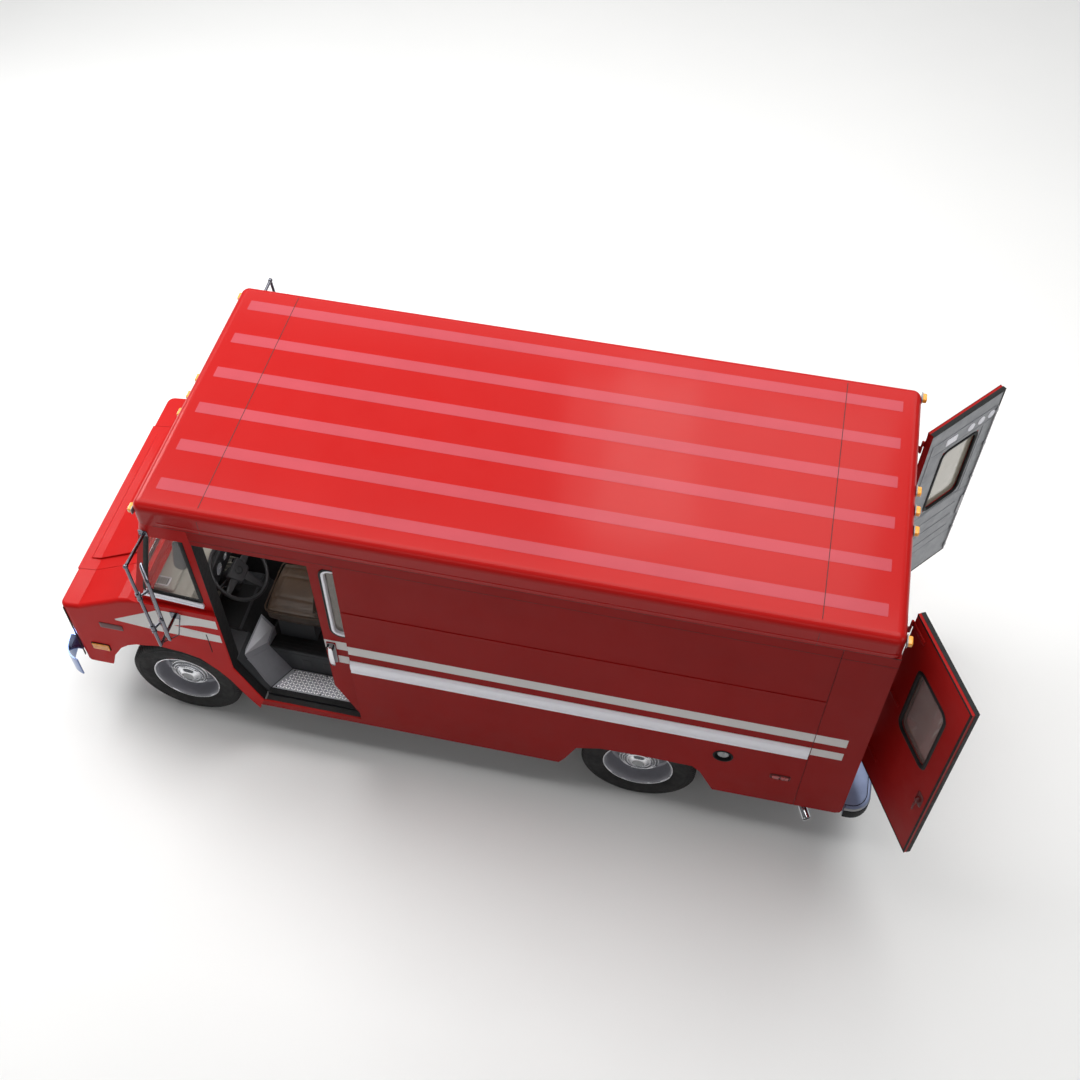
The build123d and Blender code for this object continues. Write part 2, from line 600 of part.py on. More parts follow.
def make_cab_floor():
    """Cab floor, toe board, step wells and the seat's pedestal."""
    sheet = 10
    with BuildPart() as cab_floor:
        slab([(POCKET_X, FLOOR_BOTTOM), (1640, FLOOR_BOTTOM), (1812, TOEBOARD_TOP - sheet),
              (FIREWALL_X, TOEBOARD_TOP - sheet), (FIREWALL_X, TOEBOARD_TOP), (1806, TOEBOARD_TOP),
              (1634, FLOOR_TOP), (POCKET_X, FLOOR_TOP)], (-STEP_INNER_Y, STEP_INNER_Y))
        block((1400, 2110), (-330, 210), (FLOOR_BOTTOM - 20, TOEBOARD_TOP + 10), Mode.SUBTRACT)
        for y in both_sides((STEP_INNER_Y, STEP_OUTER_Y)):
            slab([(POCKET_X, STEP_Z - sheet), (1580, STEP_Z - sheet), (1756, 846 - sheet),
                  (FIREWALL_X, 880 - sheet), (FIREWALL_X, 880), (1748, 846), (1574, STEP_Z),
                  (POCKET_X, STEP_Z)], y)
            block((POCKET_X, POCKET_X + sheet), y, (STEP_Z, FLOOR_TOP))
        for y in both_sides((STEP_INNER_Y - sheet, STEP_INNER_Y)):
            slab([(POCKET_X, STEP_Z - sheet), (1580, STEP_Z - sheet), (1756, 846), (1640, FLOOR_TOP),
                  (POCKET_X, FLOOR_TOP)], y)
        for y in both_sides((STEP_OUTER_Y, BODY_HALF - SKIN)):
            block((POCKET_X, OPENING_FRONT_SILL_X - 10), y, (SILL_Z - 24, SILL_Z - 14))
        for y in both_sides((STEP_OUTER_Y, STEP_OUTER_Y + 8)):
            block((POCKET_X, OPENING_FRONT_SILL_X - 10), y, (SILL_Z - 24, STEP_Z))
        block((1290, 1560), (SEAT_Y - 140, SEAT_Y + 140), (FLOOR_TOP, 930))
    cab_floor.part.label = "cab_floor"
    export_step(cab_floor.part, "parts/cab_floor.step")


def cab_block(inset):
    """The cab's raked front end above the belt, moved in by the inset."""
    radius = max(EDGE_RADIUS - inset, 12)
    with BuildPart() as shape:
        slab([(1700, BELT_Z - 60), (COWL_X - inset * 1.04 + 16, BELT_Z - 60),
              (ROOF_FRONT_X - inset * 1.04, 2361),
              (ROOF_FRONT_X - inset * 1.04, ROOF_SEAM + 40), (1700, ROOF_SEAM + 40)],
             (-BODY_HALF + inset, BODY_HALF - inset))
        front = [edge for edge in shape.edges() if edge.center().X > 1900 and abs(edge.center().Y) > 800]
        fillet([edge for edge in front if edge.length > 60 and abs(edge.tangent_at(0.5).Z) > 0.5], radius)
    return shape.part


def make_cab_front():
    """Windshield frame, front posts and quarter-window frames."""
    recess_y = BODY_HALF - 36
    with BuildPart() as cab:
        add(cab_block(0))
        add(cab_block(50), mode=Mode.SUBTRACT)
        block((1600, OPENING_FRONT_TOP_X + 2), (-1100, 1100), (1300, 2500), Mode.SUBTRACT)
        block((1600, 2500), (-1100, 1100), (ROOF_SEAM, 2500), Mode.SUBTRACT)
        block((1600, 2500), (-1100, 1100), (1300, BELT_Z), Mode.SUBTRACT)
        for y in both_sides((recess_y, 1100)):
            slab([(1700, BELT_Z + 6), (2470, BELT_Z + 6), (2150, 2268), (1700, 2268)], y, Mode.SUBTRACT)
        for y in both_sides((900, 1100)):
            slab([(1852, 1558), (2245, 1590), (2081, 2262), (1867, 2240)], y, Mode.SUBTRACT)
        for side in (1, -1):
            with BuildSketch(Plane(origin=(COWL_X, 0, BELT_Z), x_dir=(0, 1, 0), z_dir=WINDSHIELD_OUT)
                             .offset(-120)) as pane:
                with Locations((side * 465, 0.54 * SLOPE)):
                    RectangleRounded(860, 0.70 * SLOPE, 50)
            extrude(pane.sketch, amount=200, mode=Mode.SUBTRACT)
        rod_x, rod_z = VISOR_ROD
        for y in (VISOR_ENDS[0], VISOR_ENDS[1] - 16):
            block((rod_x - 14, rod_x + 66), (y, y + 16), (rod_z - 12, rod_z + 14))
        bar((rod_x, VISOR_ENDS[0], rod_z), (rod_x, VISOR_ENDS[1], rod_z), 6 + RUNNING_FIT, Mode.SUBTRACT)
    cab.part.label = "cab_front"
    export_step(cab.part, "parts/cab_front.step")


def make_cab_glass():
    """Split windshield and the two quarter windows."""
    with BuildPart() as glass:
        for side in (1, -1):
            with BuildSketch(Plane(origin=(COWL_X, 0, BELT_Z), x_dir=(0, 1, 0), z_dir=WINDSHIELD_OUT)
                             .offset(-26)) as pane:
                with Locations((side * 465, 0.54 * SLOPE)):
                    RectangleRounded(859, 0.70 * SLOPE - 1, 49.5)
            extrude(pane.sketch, amount=GLASS)
        for y in both_sides((975, 975 + GLASS)):
            slab([(1853, 1559), (2244, 1591), (2080.5, 2261), (1868, 2239)], y)
    glass.part.label = "cab_glass"
    export_step(glass.part, "parts/cab_glass.step")


def nose_outline(inset):
    """Side view of the nose as (x, z) points, moved in by the inset."""
    front = NOSE_FRONT_X - inset
    return [(1500, 200), (front - 14, 200), (front - 14, 609), (front, 1249 - inset * 0.4),
            (2812, 1268 - inset), (2471, 1444 - inset), (2400, BELT_Z - inset), (1500, BELT_Z - inset)]


def nose_block(inset):
    with BuildPart() as shape:
        slab(nose_outline(inset), (-BODY_HALF + inset, BODY_HALF - inset))
        corners = [edge for edge in shape.edges() if edge.center().X > NOSE_FRONT_X - inset - 30
                   and abs(edge.center().Y) > 900 and edge.length > 300]
        fillet(corners, 58 - inset)
        tops = [edge for edge in shape.edges() if edge.center().Z > 1200 and abs(edge.center().Y) > 900
                and 2350 < edge.center().X]
        fillet(tops, 30 - inset)
    return shape.part


def make_nose():
    """Fenders, front panel with grille and lamp openings, and the shelf beside the hood."""
    with BuildPart() as nose:
        add(nose_block(0))
        add(nose_block(SKIN), mode=Mode.SUBTRACT)
        cut_low = 565
        block((1400, 3100), (-1200, 1200), (100, 300), Mode.SUBTRACT)
        block((2700, 3100), (-1200, 1200), (100, cut_low), Mode.SUBTRACT)
        slab(front_arch(), (-1200, 1200), Mode.SUBTRACT)
        slab([(1300, 100), (1634, 100), (1634, 330), (OPENING_FRONT_SILL_X + 30, SILL_Z - 66),
              (OPENING_FRONT_SILL_X, SILL_Z), (OPENING_FRONT_KINK_X, OPENING_KINK_Z),
              (OPENING_FRONT_KINK_X + 8, BELT_Z), (OPENING_FRONT_TOP_X + 2, BELT_Z + 50), (1300, BELT_Z + 50)],
             (-1200, 1200), Mode.SUBTRACT)
        block((1400, COWL_X - 90), (-965, 965), (BELT_Z - 60, BELT_Z + 20), Mode.SUBTRACT)
        block((2410, 3100), (-700, 700), (1150, 1600), Mode.SUBTRACT)
        block((2900, 3100), (-470, 470), (700, 1100), Mode.SUBTRACT)
        for side in (1, -1):
            bar((2900, side * 690, 960), (3100, side * 690, 960), 98, Mode.SUBTRACT)
        for y in both_sides((700, 714)):
            slab([(2420, 1000), (2880, 1000), (2880, 1249), (2812, 1256), (2471, 1432), (2420, 1450)], y)
        block((FIREWALL_X + 12, FIREWALL_X + 22), (-1007, 1007), (900, 1400))
    nose.part.label = "nose"
    export_step(nose.part, "parts/nose.step")


def make_grille():
    with BuildPart() as grille:
        block((2926, 2950), (-468, 468), (702, 1098))
        block((2900, 2960), (-446, 446), (724, 1076), Mode.SUBTRACT)
        for row in range(7):
            z = 752 + 49.5 * row
            block((2930, 2952), (-450, 450), (z - 8, z + 8))
        for y in (-225, 0, 225):
            block((2926, 2932), (y - 6, y + 6), (720, 1080))
    grille.part.label = "grille"
    export_step(grille.part, "parts/grille.step")


def make_hood():
    """Hood lid with its raised middle and front lip."""
    with BuildPart() as hood:
        slab([(2416, BELT_Z - 14), (2474, 1430), (2812, 1254), (NOSE_FRONT_X - 20, 1236),
              (NOSE_FRONT_X - 28, 1156), (NOSE_FRONT_X - 14, 1156), (NOSE_FRONT_X - 1, 1249),
              (2812, 1268), (2471, 1444), (2416, BELT_Z)],
             (-697, 697))
        slab([(2440, BELT_Z - 8), (2560, 1391), (2812, 1260), (2900, 1250), (2880, 1268), (2812, 1284),
              (2520, 1438), (2440, BELT_Z + 8)], (-600, 600))
        bar((HOOD_HINGE_X, -690, BELT_Z - 8), (HOOD_HINGE_X, 690, BELT_Z - 8), 8)
    hood.part.label = "hood"
    export_step(hood.part, "parts/hood.step")


# ---------------------------------------------------------------- doors

def door_outline(lead):
    """Side door as (x, z) points; lead is the x of its front edge at the top."""
    return [
        (lead, OPENING_TOP + 6), (lead - OPENING_FRONT_TOP_X + OPENING_FRONT_KINK_X, OPENING_KINK_Z),
        (lead - OPENING_FRONT_TOP_X + OPENING_FRONT_SILL_X - 2, SILL_Z - 8), (lead - DOOR_LENGTH, SILL_Z - 8),
        (lead - DOOR_LENGTH, OPENING_TOP + 6),
    ]


def make_side_doors():
    closed_lead = OPENING_FRONT_TOP_X - 4
    leads = (("left", 1, closed_lead - LEFT_DOOR_SLID_BACK), ("right", -1, closed_lead))
    for name, side, lead in leads:
        window_x = lead - 95 - 560 / 2
        window_z = 1855
        y = on_side(side, (DOOR_INNER_Y, DOOR_OUTER_Y))
        window_plane = Plane(origin=(window_x, side * DOOR_OUTER_Y, window_z), x_dir=(1, 0, 0),
                             z_dir=(0, -side, 0))
        with BuildPart() as door:
            slab(door_outline(lead), y)
            with BuildSketch(window_plane) as opening:
                RectangleRounded(560, 700, 55)
            extrude(opening.sketch, amount=60, mode=Mode.SUBTRACT)
            with BuildSketch(window_plane.offset(-5)) as bezel:
                RectangleRounded(596, 736, 72)
                RectangleRounded(560, 700, 55, mode=Mode.SUBTRACT)
            extrude(bezel.sketch, amount=12)
            with Locations((lead - 58, side * (DOOR_OUTER_Y + 3), 1268)):
                Box(64, 8, 236)
            for x in ((lead - 80, lead - 74), (lead - 42, lead - 36)):
                block(x, on_side(side, (DOOR_OUTER_Y + 3, HANDLE_PIVOT_Y + 7)),
                      (HANDLE_PIVOT_Z - 9, HANDLE_PIVOT_Z + 9))
            bar((lead - 78, side * HANDLE_PIVOT_Y, HANDLE_PIVOT_Z),
                (lead - 38, side * HANDLE_PIVOT_Y, HANDLE_PIVOT_Z), HANDLE_PIN)
        door.part.label = f"{name}_door"
        export_step(door.part, f"parts/{name}_door.step")
        with BuildPart() as pane:
            with BuildSketch(window_plane.offset(16)) as sheet:
                RectangleRounded(559, 699, 54.5)
            extrude(sheet.sketch, amount=GLASS)
        pane.part.label = f"{name}_door_window"
        export_step(pane.part, f"parts/{name}_door_window.step")
        with BuildPart() as handle:
            with Locations((lead - 58, side * (DOOR_OUTER_Y + 36), 1250)):
                Box(30, 14, 222)
            fillet(handle.edges().filter_by(Axis.Z), 6)
            with Locations((lead - 58, side * (DOOR_OUTER_Y + 20), 1156)):
                Box(22, 22, 22)
            eye = [(lead - 73, side * HANDLE_PIVOT_Y, HANDLE_PIVOT_Z),
                   (lead - 43, side * HANDLE_PIVOT_Y, HANDLE_PIVOT_Z)]
            bar(*eye, 7)
            bar(*eye, HANDLE_PIN + RUNNING_FIT, Mode.SUBTRACT)
        handle.part.label = f"{name}_door_handle"
        export_step(handle.part, f"parts/{name}_door_handle.step")


def rear_door_plane(side, opened):
    """Plane in the door's outer face direction: local x from the hinge to the free edge, local y up."""
    angle = radians(-90 - opened) if side > 0 else radians(90 + opened)
    along = Vector(cos(angle), sin(angle), 0)
    return Plane(origin=(HINGE_X, side * HINGE_Y, 0), x_dir=along, z_dir=along.cross(Vector(0, 0, 1)))


def make_rear_doors():
    low_u, high_u = HINGE_BARREL + 2, HINGE_BARREL + 2 + REAR_DOOR_WIDTH
    u_window = (REAR_WINDOW[0] + REAR_WINDOW[1]) / 2
    z_window = (REAR_WINDOW[2] + REAR_WINDOW[3]) / 2
    width = REAR_WINDOW[1] - REAR_WINDOW[0]
    height = REAR_WINDOW[3] - REAR_WINDOW[2]
    z_mid = (REAR_DOOR_BOTTOM + REAR_DOOR_TOP) / 2
    for name, side, opened in (("rear_left", 1, LEFT_REAR_OPEN), ("rear_right", -1, RIGHT_REAR_OPEN)):
        face = rear_door_plane(side, opened)
        skin = face.offset(-side * REAR_DOOR_GAP)
        with BuildPart() as door:
            with BuildSketch(skin) as sheet:
                with Locations(((low_u + high_u) / 2, z_mid)):
                    Rectangle(REAR_DOOR_WIDTH, REAR_DOOR_TOP - REAR_DOOR_BOTTOM)
                with Locations((u_window, z_window)):
                    RectangleRounded(width, height, 60, mode=Mode.SUBTRACT)
            extrude(sheet.sketch, amount=-side * REAR_DOOR_THICK)
            with BuildSketch(face.offset(-side * (REAR_DOOR_GAP - 1))) as seal:
                with Locations((u_window, z_window)):
                    RectangleRounded(width + 44, height + 44, 78)
                    RectangleRounded(width, height, 60, mode=Mode.SUBTRACT)
            extrude(seal.sketch, amount=-side * 2)
            for z in (960, 1660, 2360):
                with BuildSketch(face.offset(-side * (REAR_DOOR_GAP - 4))) as strap:
                    with Locations((82, z)):
                        Rectangle(154, 46)
                extrude(strap.sketch, amount=-side * 5)
                with Locations(Location((HINGE_X, side * HINGE_Y, z))):
                    Cylinder(HINGE_BARREL, 46)
                    Cylinder(4 + RUNNING_FIT, 46, mode=Mode.SUBTRACT)
        door.part.label = f"{name}_door"
        export_step(door.part, f"parts/{name}_door.step")
        with BuildPart() as pane:
            with BuildSketch(face.offset(-side * (REAR_DOOR_GAP + 18))) as sheet:
                with Locations((u_window, z_window)):
                    RectangleRounded(width - 1, height - 1, 59.5)
            extrude(sheet.sketch, amount=-side * GLASS)
        pane.part.label = f"{name}_window"
        export_step(pane.part, f"parts/{name}_window.step")
    face = rear_door_plane(1, LEFT_REAR_OPEN)
    with BuildPart() as handle:
        with BuildSketch(face.offset(-REAR_DOOR_GAP + 0.3)) as hub:
            with Locations((640, 1320)):
                Circle(24)
        extrude(hub.sketch, amount=26)
        with BuildSketch(face.offset(-REAR_DOOR_GAP + 18)) as grip:
            with Locations((640, 1275)):
                RectangleRounded(26, 130, 12)
        extrude(grip.sketch, amount=12)
    handle.part.label = "rear_door_handle"
    export_step(handle.part, "parts/rear_door_handle.step")


# ---------------------------------------------------------------- cab fittings

def column_plane(distance):
    """Plane across the steering column, the distance from the wheel's centre measured towards the driver."""
    angle = radians(COLUMN_ANGLE)
    normal = Vector(-cos(angle), 0, sin(angle))
    return Plane(origin=Vector(*STEERING_CENTRE) + normal * distance, x_dir=(0, 1, 0), z_dir=normal)


def make_steering():
    rim_radius, grip = 222, 11
    column_axis = Axis(STEERING_CENTRE, tuple(column_plane(0).z_dir))
    with BuildPart() as wheel:
        section_plane = Plane(origin=STEERING_CENTRE, x_dir=column_plane(0).z_dir, z_dir=(0, 1, 0))
        with BuildSketch(section_plane) as section:
            with Locations((0, rim_radius)):
                Circle(grip)
        revolve(section.sketch, column_axis)
        with BuildSketch(column_plane(-48)) as hub:
            Circle(58)
        extrude(hub.sketch, amount=44)
        with BuildSketch(column_plane(-30)) as spokes:
            for turn in (0, 180):
                with Locations(Location((0, 0), turn)):
                    with Locations((rim_radius / 2, 0)):
                        Rectangle(rim_radius, 46)
            with Locations((0, rim_radius / 2)):
                Rectangle(54, rim_radius)
        extrude(spokes.sketch, amount=22)
        with BuildSketch(column_plane(-10)) as pocket:
            Circle(38.5)
        extrude(pocket.sketch, amount=40, mode=Mode.SUBTRACT)
    wheel.part.label = "steering_wheel"
    export_step(wheel.part, "parts/steering_wheel.step")
    with BuildPart() as horn:
        with BuildSketch(column_plane(-2)) as disc:
            Circle(38)
        extrude(disc.sketch, amount=8)
        fillet(horn.edges().sort_by(column_axis)[-1], 3)
    horn.part.label = "horn_button"
    export_step(horn.part, "parts/horn_button.step")
    with BuildPart() as column:
        with BuildSketch(column_plane(-50)) as tube:
            Circle(34)
        extrude(tube.sketch, amount=-385)
        with BuildSketch(column_plane(-50)) as shroud:
            Circle(50)
        extrude(shroud.sketch, amount=-150)
    column.part.label = "steering_column"
    export_step(column.part, "parts/steering_column.step")


def make_dash():
    with BuildPart() as dash:
        slab([(2000, 1425), (2330, 1425), (2330, 1410), (2040, 1405), (2010, 1150), (2050, 1120), (2050, 900),
              (2040, 900), (2036, 1112), (1985, 1150)], (-940, 940))
        block((1900, 2400), (-330, 210), (880, 1130), Mode.SUBTRACT)
        with BuildSketch(column_plane(-200)) as passage:
            Circle(60)
        extrude(passage.sketch, amount=-500, mode=Mode.SUBTRACT)
        block((2190, 2290), (740, 830), (1422, 1426), Mode.SUBTRACT)
        for x, y in PEDAL_PIVOTS.values():
            for low in (y - 30, y + 22.3):
                block((x - 16, 2044), (low, low + 7.7), (PEDAL_PIVOT_Z - 16, PEDAL_PIVOT_Z + 16))
    dash.part.label = "dash_panel"
    export_step(dash.part, "parts/dash_panel.step")
    with BuildPart() as cover:
        outer = [(1410, FLOOR_TOP + 2), (1470, 1020), (1560, 1110), (2096, 1110), (2096, FLOOR_TOP + 2)]
        inner = [(1424, 600), (1484, 1012), (1568, 1096), (2200, 1096), (2200, 600)]
        slab(outer, (-326, 206))
        fillet(cover.edges().filter_by(Axis.X).group_by(Axis.Z)[-1], 40)
        slab(inner, (-312, 192), Mode.SUBTRACT)
    cover.part.label = "engine_cover"
    export_step(cover.part, "parts/engine_cover.step")


def make_pedals():
    foot_z = 965
    for name, width, foot in (("brake_pedal", 90, 24), ("accelerator_pedal", 60, 44)):
        x, y = PEDAL_PIVOTS[name]
        with BuildPart() as pedal:
            bar((x, y - 22, PEDAL_PIVOT_Z), (x, y + 22, PEDAL_PIVOT_Z), 12)
            slab([(x - 8, PEDAL_PIVOT_Z), (x + 8, PEDAL_PIVOT_Z), (x - 36, foot_z), (x - 56, foot_z)],
                 (y - 7, y + 7))
            slab([(x - 66, foot_z - foot), (x - 54, foot_z - foot), (x - 26, foot_z + foot),
                  (x - 38, foot_z + foot)], (y - width / 2, y + width / 2))
        pedal.part.label = name
        export_step(pedal.part, f"parts/{name}.step")


def make_seat():
    """Seat frame on its runners, with the cushion and the backrest."""
    with BuildPart() as seat:
        block((1200, 1580), (SEAT_Y - 170, SEAT_Y + 170), (932, 1000))
        block((1160, 1615), (SEAT_Y - 235, SEAT_Y + 235), (1000, 1125))
        fillet(seat.edges().filter_by(Axis.Z).group_by(SortBy.LENGTH)[-1], 40)
        for side in (1, -1):
            block((1110, 1210), (SEAT_Y + side * 150 - 15, SEAT_Y + side * 150 + 15), (960, 1001))
            slab([(1110, 960), (1150, 960), (1150, 1200), (1110, 1200)],
                 (SEAT_Y + side * 150 - 15, SEAT_Y + side * 150 + 15))
        slab([(1155, 1130), (1245, 1130), (1150, 1690), (1060, 1690)], (SEAT_Y - 225, SEAT_Y + 225))
    seat.part.label = "driver_seat"
    export_step(seat.part, "parts/driver_seat.step")


def make_sun_visor():
    with BuildPart() as visor:
        rod_x, rod_z = VISOR_ROD
        bar((rod_x, VISOR_ENDS[0], rod_z), (rod_x, VISOR_ENDS[1], rod_z), 6)
        slab([(rod_x - 6, rod_z), (rod_x + 6, rod_z), (rod_x - 24, rod_z - 162), (rod_x - 36, rod_z - 162)],
             (VISOR_ENDS[0] + 20, VISOR_ENDS[1] - 20))
    visor.part.label = "sun_visor"
    export_step(visor.part, "parts/sun_visor.step")


def make_mirrors():
    with BuildPart() as arms:
        for side in (1, -1):
            points = [(2070, side * 1027, 2292), (2050, side * (MIRROR_Y - 8), 2350),
                      (2040, side * MIRROR_Y, 2200), (2014, side * MIRROR_Y, 1508),
                      (2062, side * 1027, 1398)]
            for start, stop in zip(points, points[1:]):
                bar(start, stop, ARM_RADIUS)
            for point in points[1:-1]:
                with Locations(point):
                    Sphere(ARM_RADIUS)
            block((2046, 2104), on_side(side, (BODY_HALF, BODY_HALF + 5)), (2276, 2322))
            block((2030, 2098), on_side(side, (BODY_HALF, BODY_HALF + 5)), (1360, 1430))
    arms.part.label = "mirror_arms"
    export_step(arms.part, "parts/mirror_arms.step")
    for name, side in (("left_mirror", 1), ("right_mirror", -1)):
        with BuildPart() as mirror:
            for z_mid, height in ((2050, 390), (1700, 260)):
                facing = Plane(
                    origin=(1976, side * 1262, z_mid),
                    x_dir=(-MIRROR_TURN[1], side * MIRROR_TURN[0], 0),
                    z_dir=(-MIRROR_TURN[0], -side * MIRROR_TURN[1], 0),
                )
                with BuildSketch(facing) as head:
                    RectangleRounded(176, height, 20)
                extrude(head.sketch, amount=-26)
                bar((1988, side * 1272, z_mid), (2012, side * 1300, z_mid), 9)
                x_arm = 2040 - (2200 - z_mid) * 26 / 692
                bar((x_arm, side * MIRROR_Y, z_mid - 40), (x_arm - 2.5, side * MIRROR_Y, z_mid + 40), 16)
                bar((2008, side * 1296, z_mid), (x_arm, side * (MIRROR_Y - 12), z_mid), 9)
                arm_low = (2014, side * MIRROR_Y, 1508)
                bar(arm_low, (2040, side * MIRROR_Y, 2200), ARM_RADIUS + RUNNING_FIT, Mode.SUBTRACT)
        mirror.part.label = name
        export_step(mirror.part, f"parts/{name}.step")


def make_wipers():
    """Each wiper lies along the foot of the windshield; its arm turns on a spindle."""
    for name, side in (("left_wiper", 1), ("right_wiper", -1)):
        base = Plane(origin=(COWL_X, 0, BELT_Z), x_dir=(0, 1, 0), z_dir=WINDSHIELD_OUT)
        with BuildPart() as wiper:
            with BuildSketch(base.offset(0.4)) as spindle:
                with Locations((side * 480, 78)):
                    Circle(14)
            extrude(spindle.sketch, amount=22)
            with BuildSketch(base.offset(14)) as arm:
                with Locations((side * 330, 82)):
                    Rectangle(300, 14)
            extrude(arm.sketch, amount=6)
            with BuildSketch(base.offset(4)) as blade:
                with Locations((side * 260, 88)):
                    Rectangle(420, 10)
            extrude(blade.sketch, amount=11)
        wiper.part.label = name
        export_step(wiper.part, f"parts/{name}.step")


# ---------------------------------------------------------------- lamps

def make_lamps():
    with BuildPart() as headlights:
        for side in (1, -1):
            bar((2906, side * 690, 960), (2944, side * 690, 960), 96)
            with BuildSketch(Plane.XZ.offset(-side * 690)) as lens:
                with BuildLine():
                    Line((2943, 960), (2962, 960))
                    ThreePointArc((2962, 960), (2957, 1004), (2943, 1046))
                    Line((2943, 1046), (2943, 960))
                make_face()
            revolve(lens.sketch, Axis((0, side * 690, 960), (1, 0, 0)))
    headlights.part.label = "headlights"
    export_step(headlights.part, "parts/headlights.step")
    lamp_z = 2480
    across = (-975, -160, 0, 160, 975)
    with BuildPart() as markers:
        for y in across:
            block((ROOF_FRONT_X, ROOF_FRONT_X + 34), (y - 32, y + 32), (lamp_z - 20, lamp_z + 20))
            block((BODY_REAR_X - 34, BODY_REAR_X), (y - 32, y + 32), (lamp_z - 20 + 44, lamp_z + 20 + 44))
        for y in both_sides((BODY_HALF, BODY_HALF + 16)):
            block((2694, 2828), y, (753, 823))
            block((-2190, -2054), y, (755, 811))
        for side in (1, -1):
            block((BODY_REAR_X - 22, BODY_REAR_X), on_side(side, (820, 960)), (1180, 1400))
    markers.part.label = "marker_lights"
    export_step(markers.part, "parts/marker_lights.step")


def main():
    make_wheels()
    make_front_axle()
    make_knuckles()
    make_rear_axle()
    make_leaf_springs()
    make_driveshaft()
    make_chassis_frame()
    make_engine()
    make_fuel_tank()
    make_exhaust()
    make_bumpers()
    make_side_panels()
    make_rub_rails()
    make_roof()
    make_rear_frame()
    make_cargo_floor()
    make_cab_floor()
    make_cab_front()
    make_cab_glass()
    make_nose()
    make_grille()
    make_hood()
    make_side_doors()
    make_rear_doors()
    make_steering()
    make_dash()
    make_pedals()
    make_seat()
    make_sun_visor()
    make_mirrors()
    make_wipers()
    make_lamps()


main()
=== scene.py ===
from math import cos, pi, radians, sin, sqrt

import bmesh
import bpy
from mathutils import Matrix, Vector


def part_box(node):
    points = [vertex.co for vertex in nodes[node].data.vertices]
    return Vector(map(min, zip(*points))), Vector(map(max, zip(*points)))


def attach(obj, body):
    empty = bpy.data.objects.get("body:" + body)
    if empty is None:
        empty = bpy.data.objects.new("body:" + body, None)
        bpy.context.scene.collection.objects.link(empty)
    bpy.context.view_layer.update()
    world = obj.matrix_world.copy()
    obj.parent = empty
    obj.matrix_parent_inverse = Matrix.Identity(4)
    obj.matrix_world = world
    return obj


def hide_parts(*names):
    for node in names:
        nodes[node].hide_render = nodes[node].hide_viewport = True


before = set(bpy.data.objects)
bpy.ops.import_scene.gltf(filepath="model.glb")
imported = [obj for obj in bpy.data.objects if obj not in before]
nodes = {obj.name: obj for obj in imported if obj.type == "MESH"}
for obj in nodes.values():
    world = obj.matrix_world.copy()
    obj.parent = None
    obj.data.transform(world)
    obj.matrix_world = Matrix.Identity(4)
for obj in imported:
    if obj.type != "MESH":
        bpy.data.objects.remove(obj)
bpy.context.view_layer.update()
X, Y, Z = Vector((1, 0, 0)), Vector((0, 1, 0)), Vector((0, 0, 1))
ROOT = "truck_body"

# Metres, in the row frame: +X forward, +Y the vehicle's left, +Z up, ground at z = 0.
FLANK_Y = 1.021                 # outer face of the side panels
ROOF_Z = 2.572                  # top of the roof
REAR_X = -2.587                 # outer face of the rear frame
NOSE_X = 2.943                  # front face of the nose
TYRE_RADIUS = 0.413
SIDES = ((1, "left"), (-1, "right"))
STEP_Z, FLOOR_Z, COVER_Z, POD_TOP_Z = 0.46, 0.7, 1.11, 1.454
UPPER_STRIPE, LOWER_STRIPE = (1.313, 1.408), (1.149, 1.236)
SHIELD_FOOT, SHIELD_HEAD = (2.357, 1.462), (2.109, 2.361)      # (x, z) of the windscreen's edges
FILLER = (-1.719, 0.917)        # (x, z) of the fuel filler
MIRROR_ROUGHNESS = 0.28         # below this, denoising takes a surface for a mirror
ROAD_DUST = (0.2, 0.16, 0.13)
SEAM_DEPTH, SEAM_WIDTH = 0.0085, 0.0075     # sewn seams of the seat


# ------------------------------------------------------------------ camera and light

def make_camera():
    data = bpy.data.cameras.new("camera")
    data.lens = 44.925
    data.sensor_width = 36
    data.clip_end = 200
    camera = bpy.data.objects.new("camera", data)
    bpy.context.scene.collection.objects.link(camera)
    right = Vector((-0.97718, -0.21239, 0.00368))
    forward = Vector((0.12716, -0.59876, -0.79077))
    up = right.cross(forward)
    turn = Matrix((right, up, -forward)).transposed().to_4x4()
    camera.matrix_world = Matrix.Translation((-1.4236, 5.566, 8.9314)) @ turn
    bpy.context.scene.camera = camera


def area_light(name, place, target, size, power, colour=(1, 1, 1)):
    data = bpy.data.lights.new(name, "AREA")
    data.shape = "RECTANGLE"
    data.size, data.size_y = size
    data.energy = power
    data.color = colour
    light = bpy.data.objects.new(name, data)
    bpy.context.scene.collection.objects.link(light)
    light.location = place
    light.rotation_euler = (Vector(target) - Vector(place)).to_track_quat("-Z", "Y").to_euler()


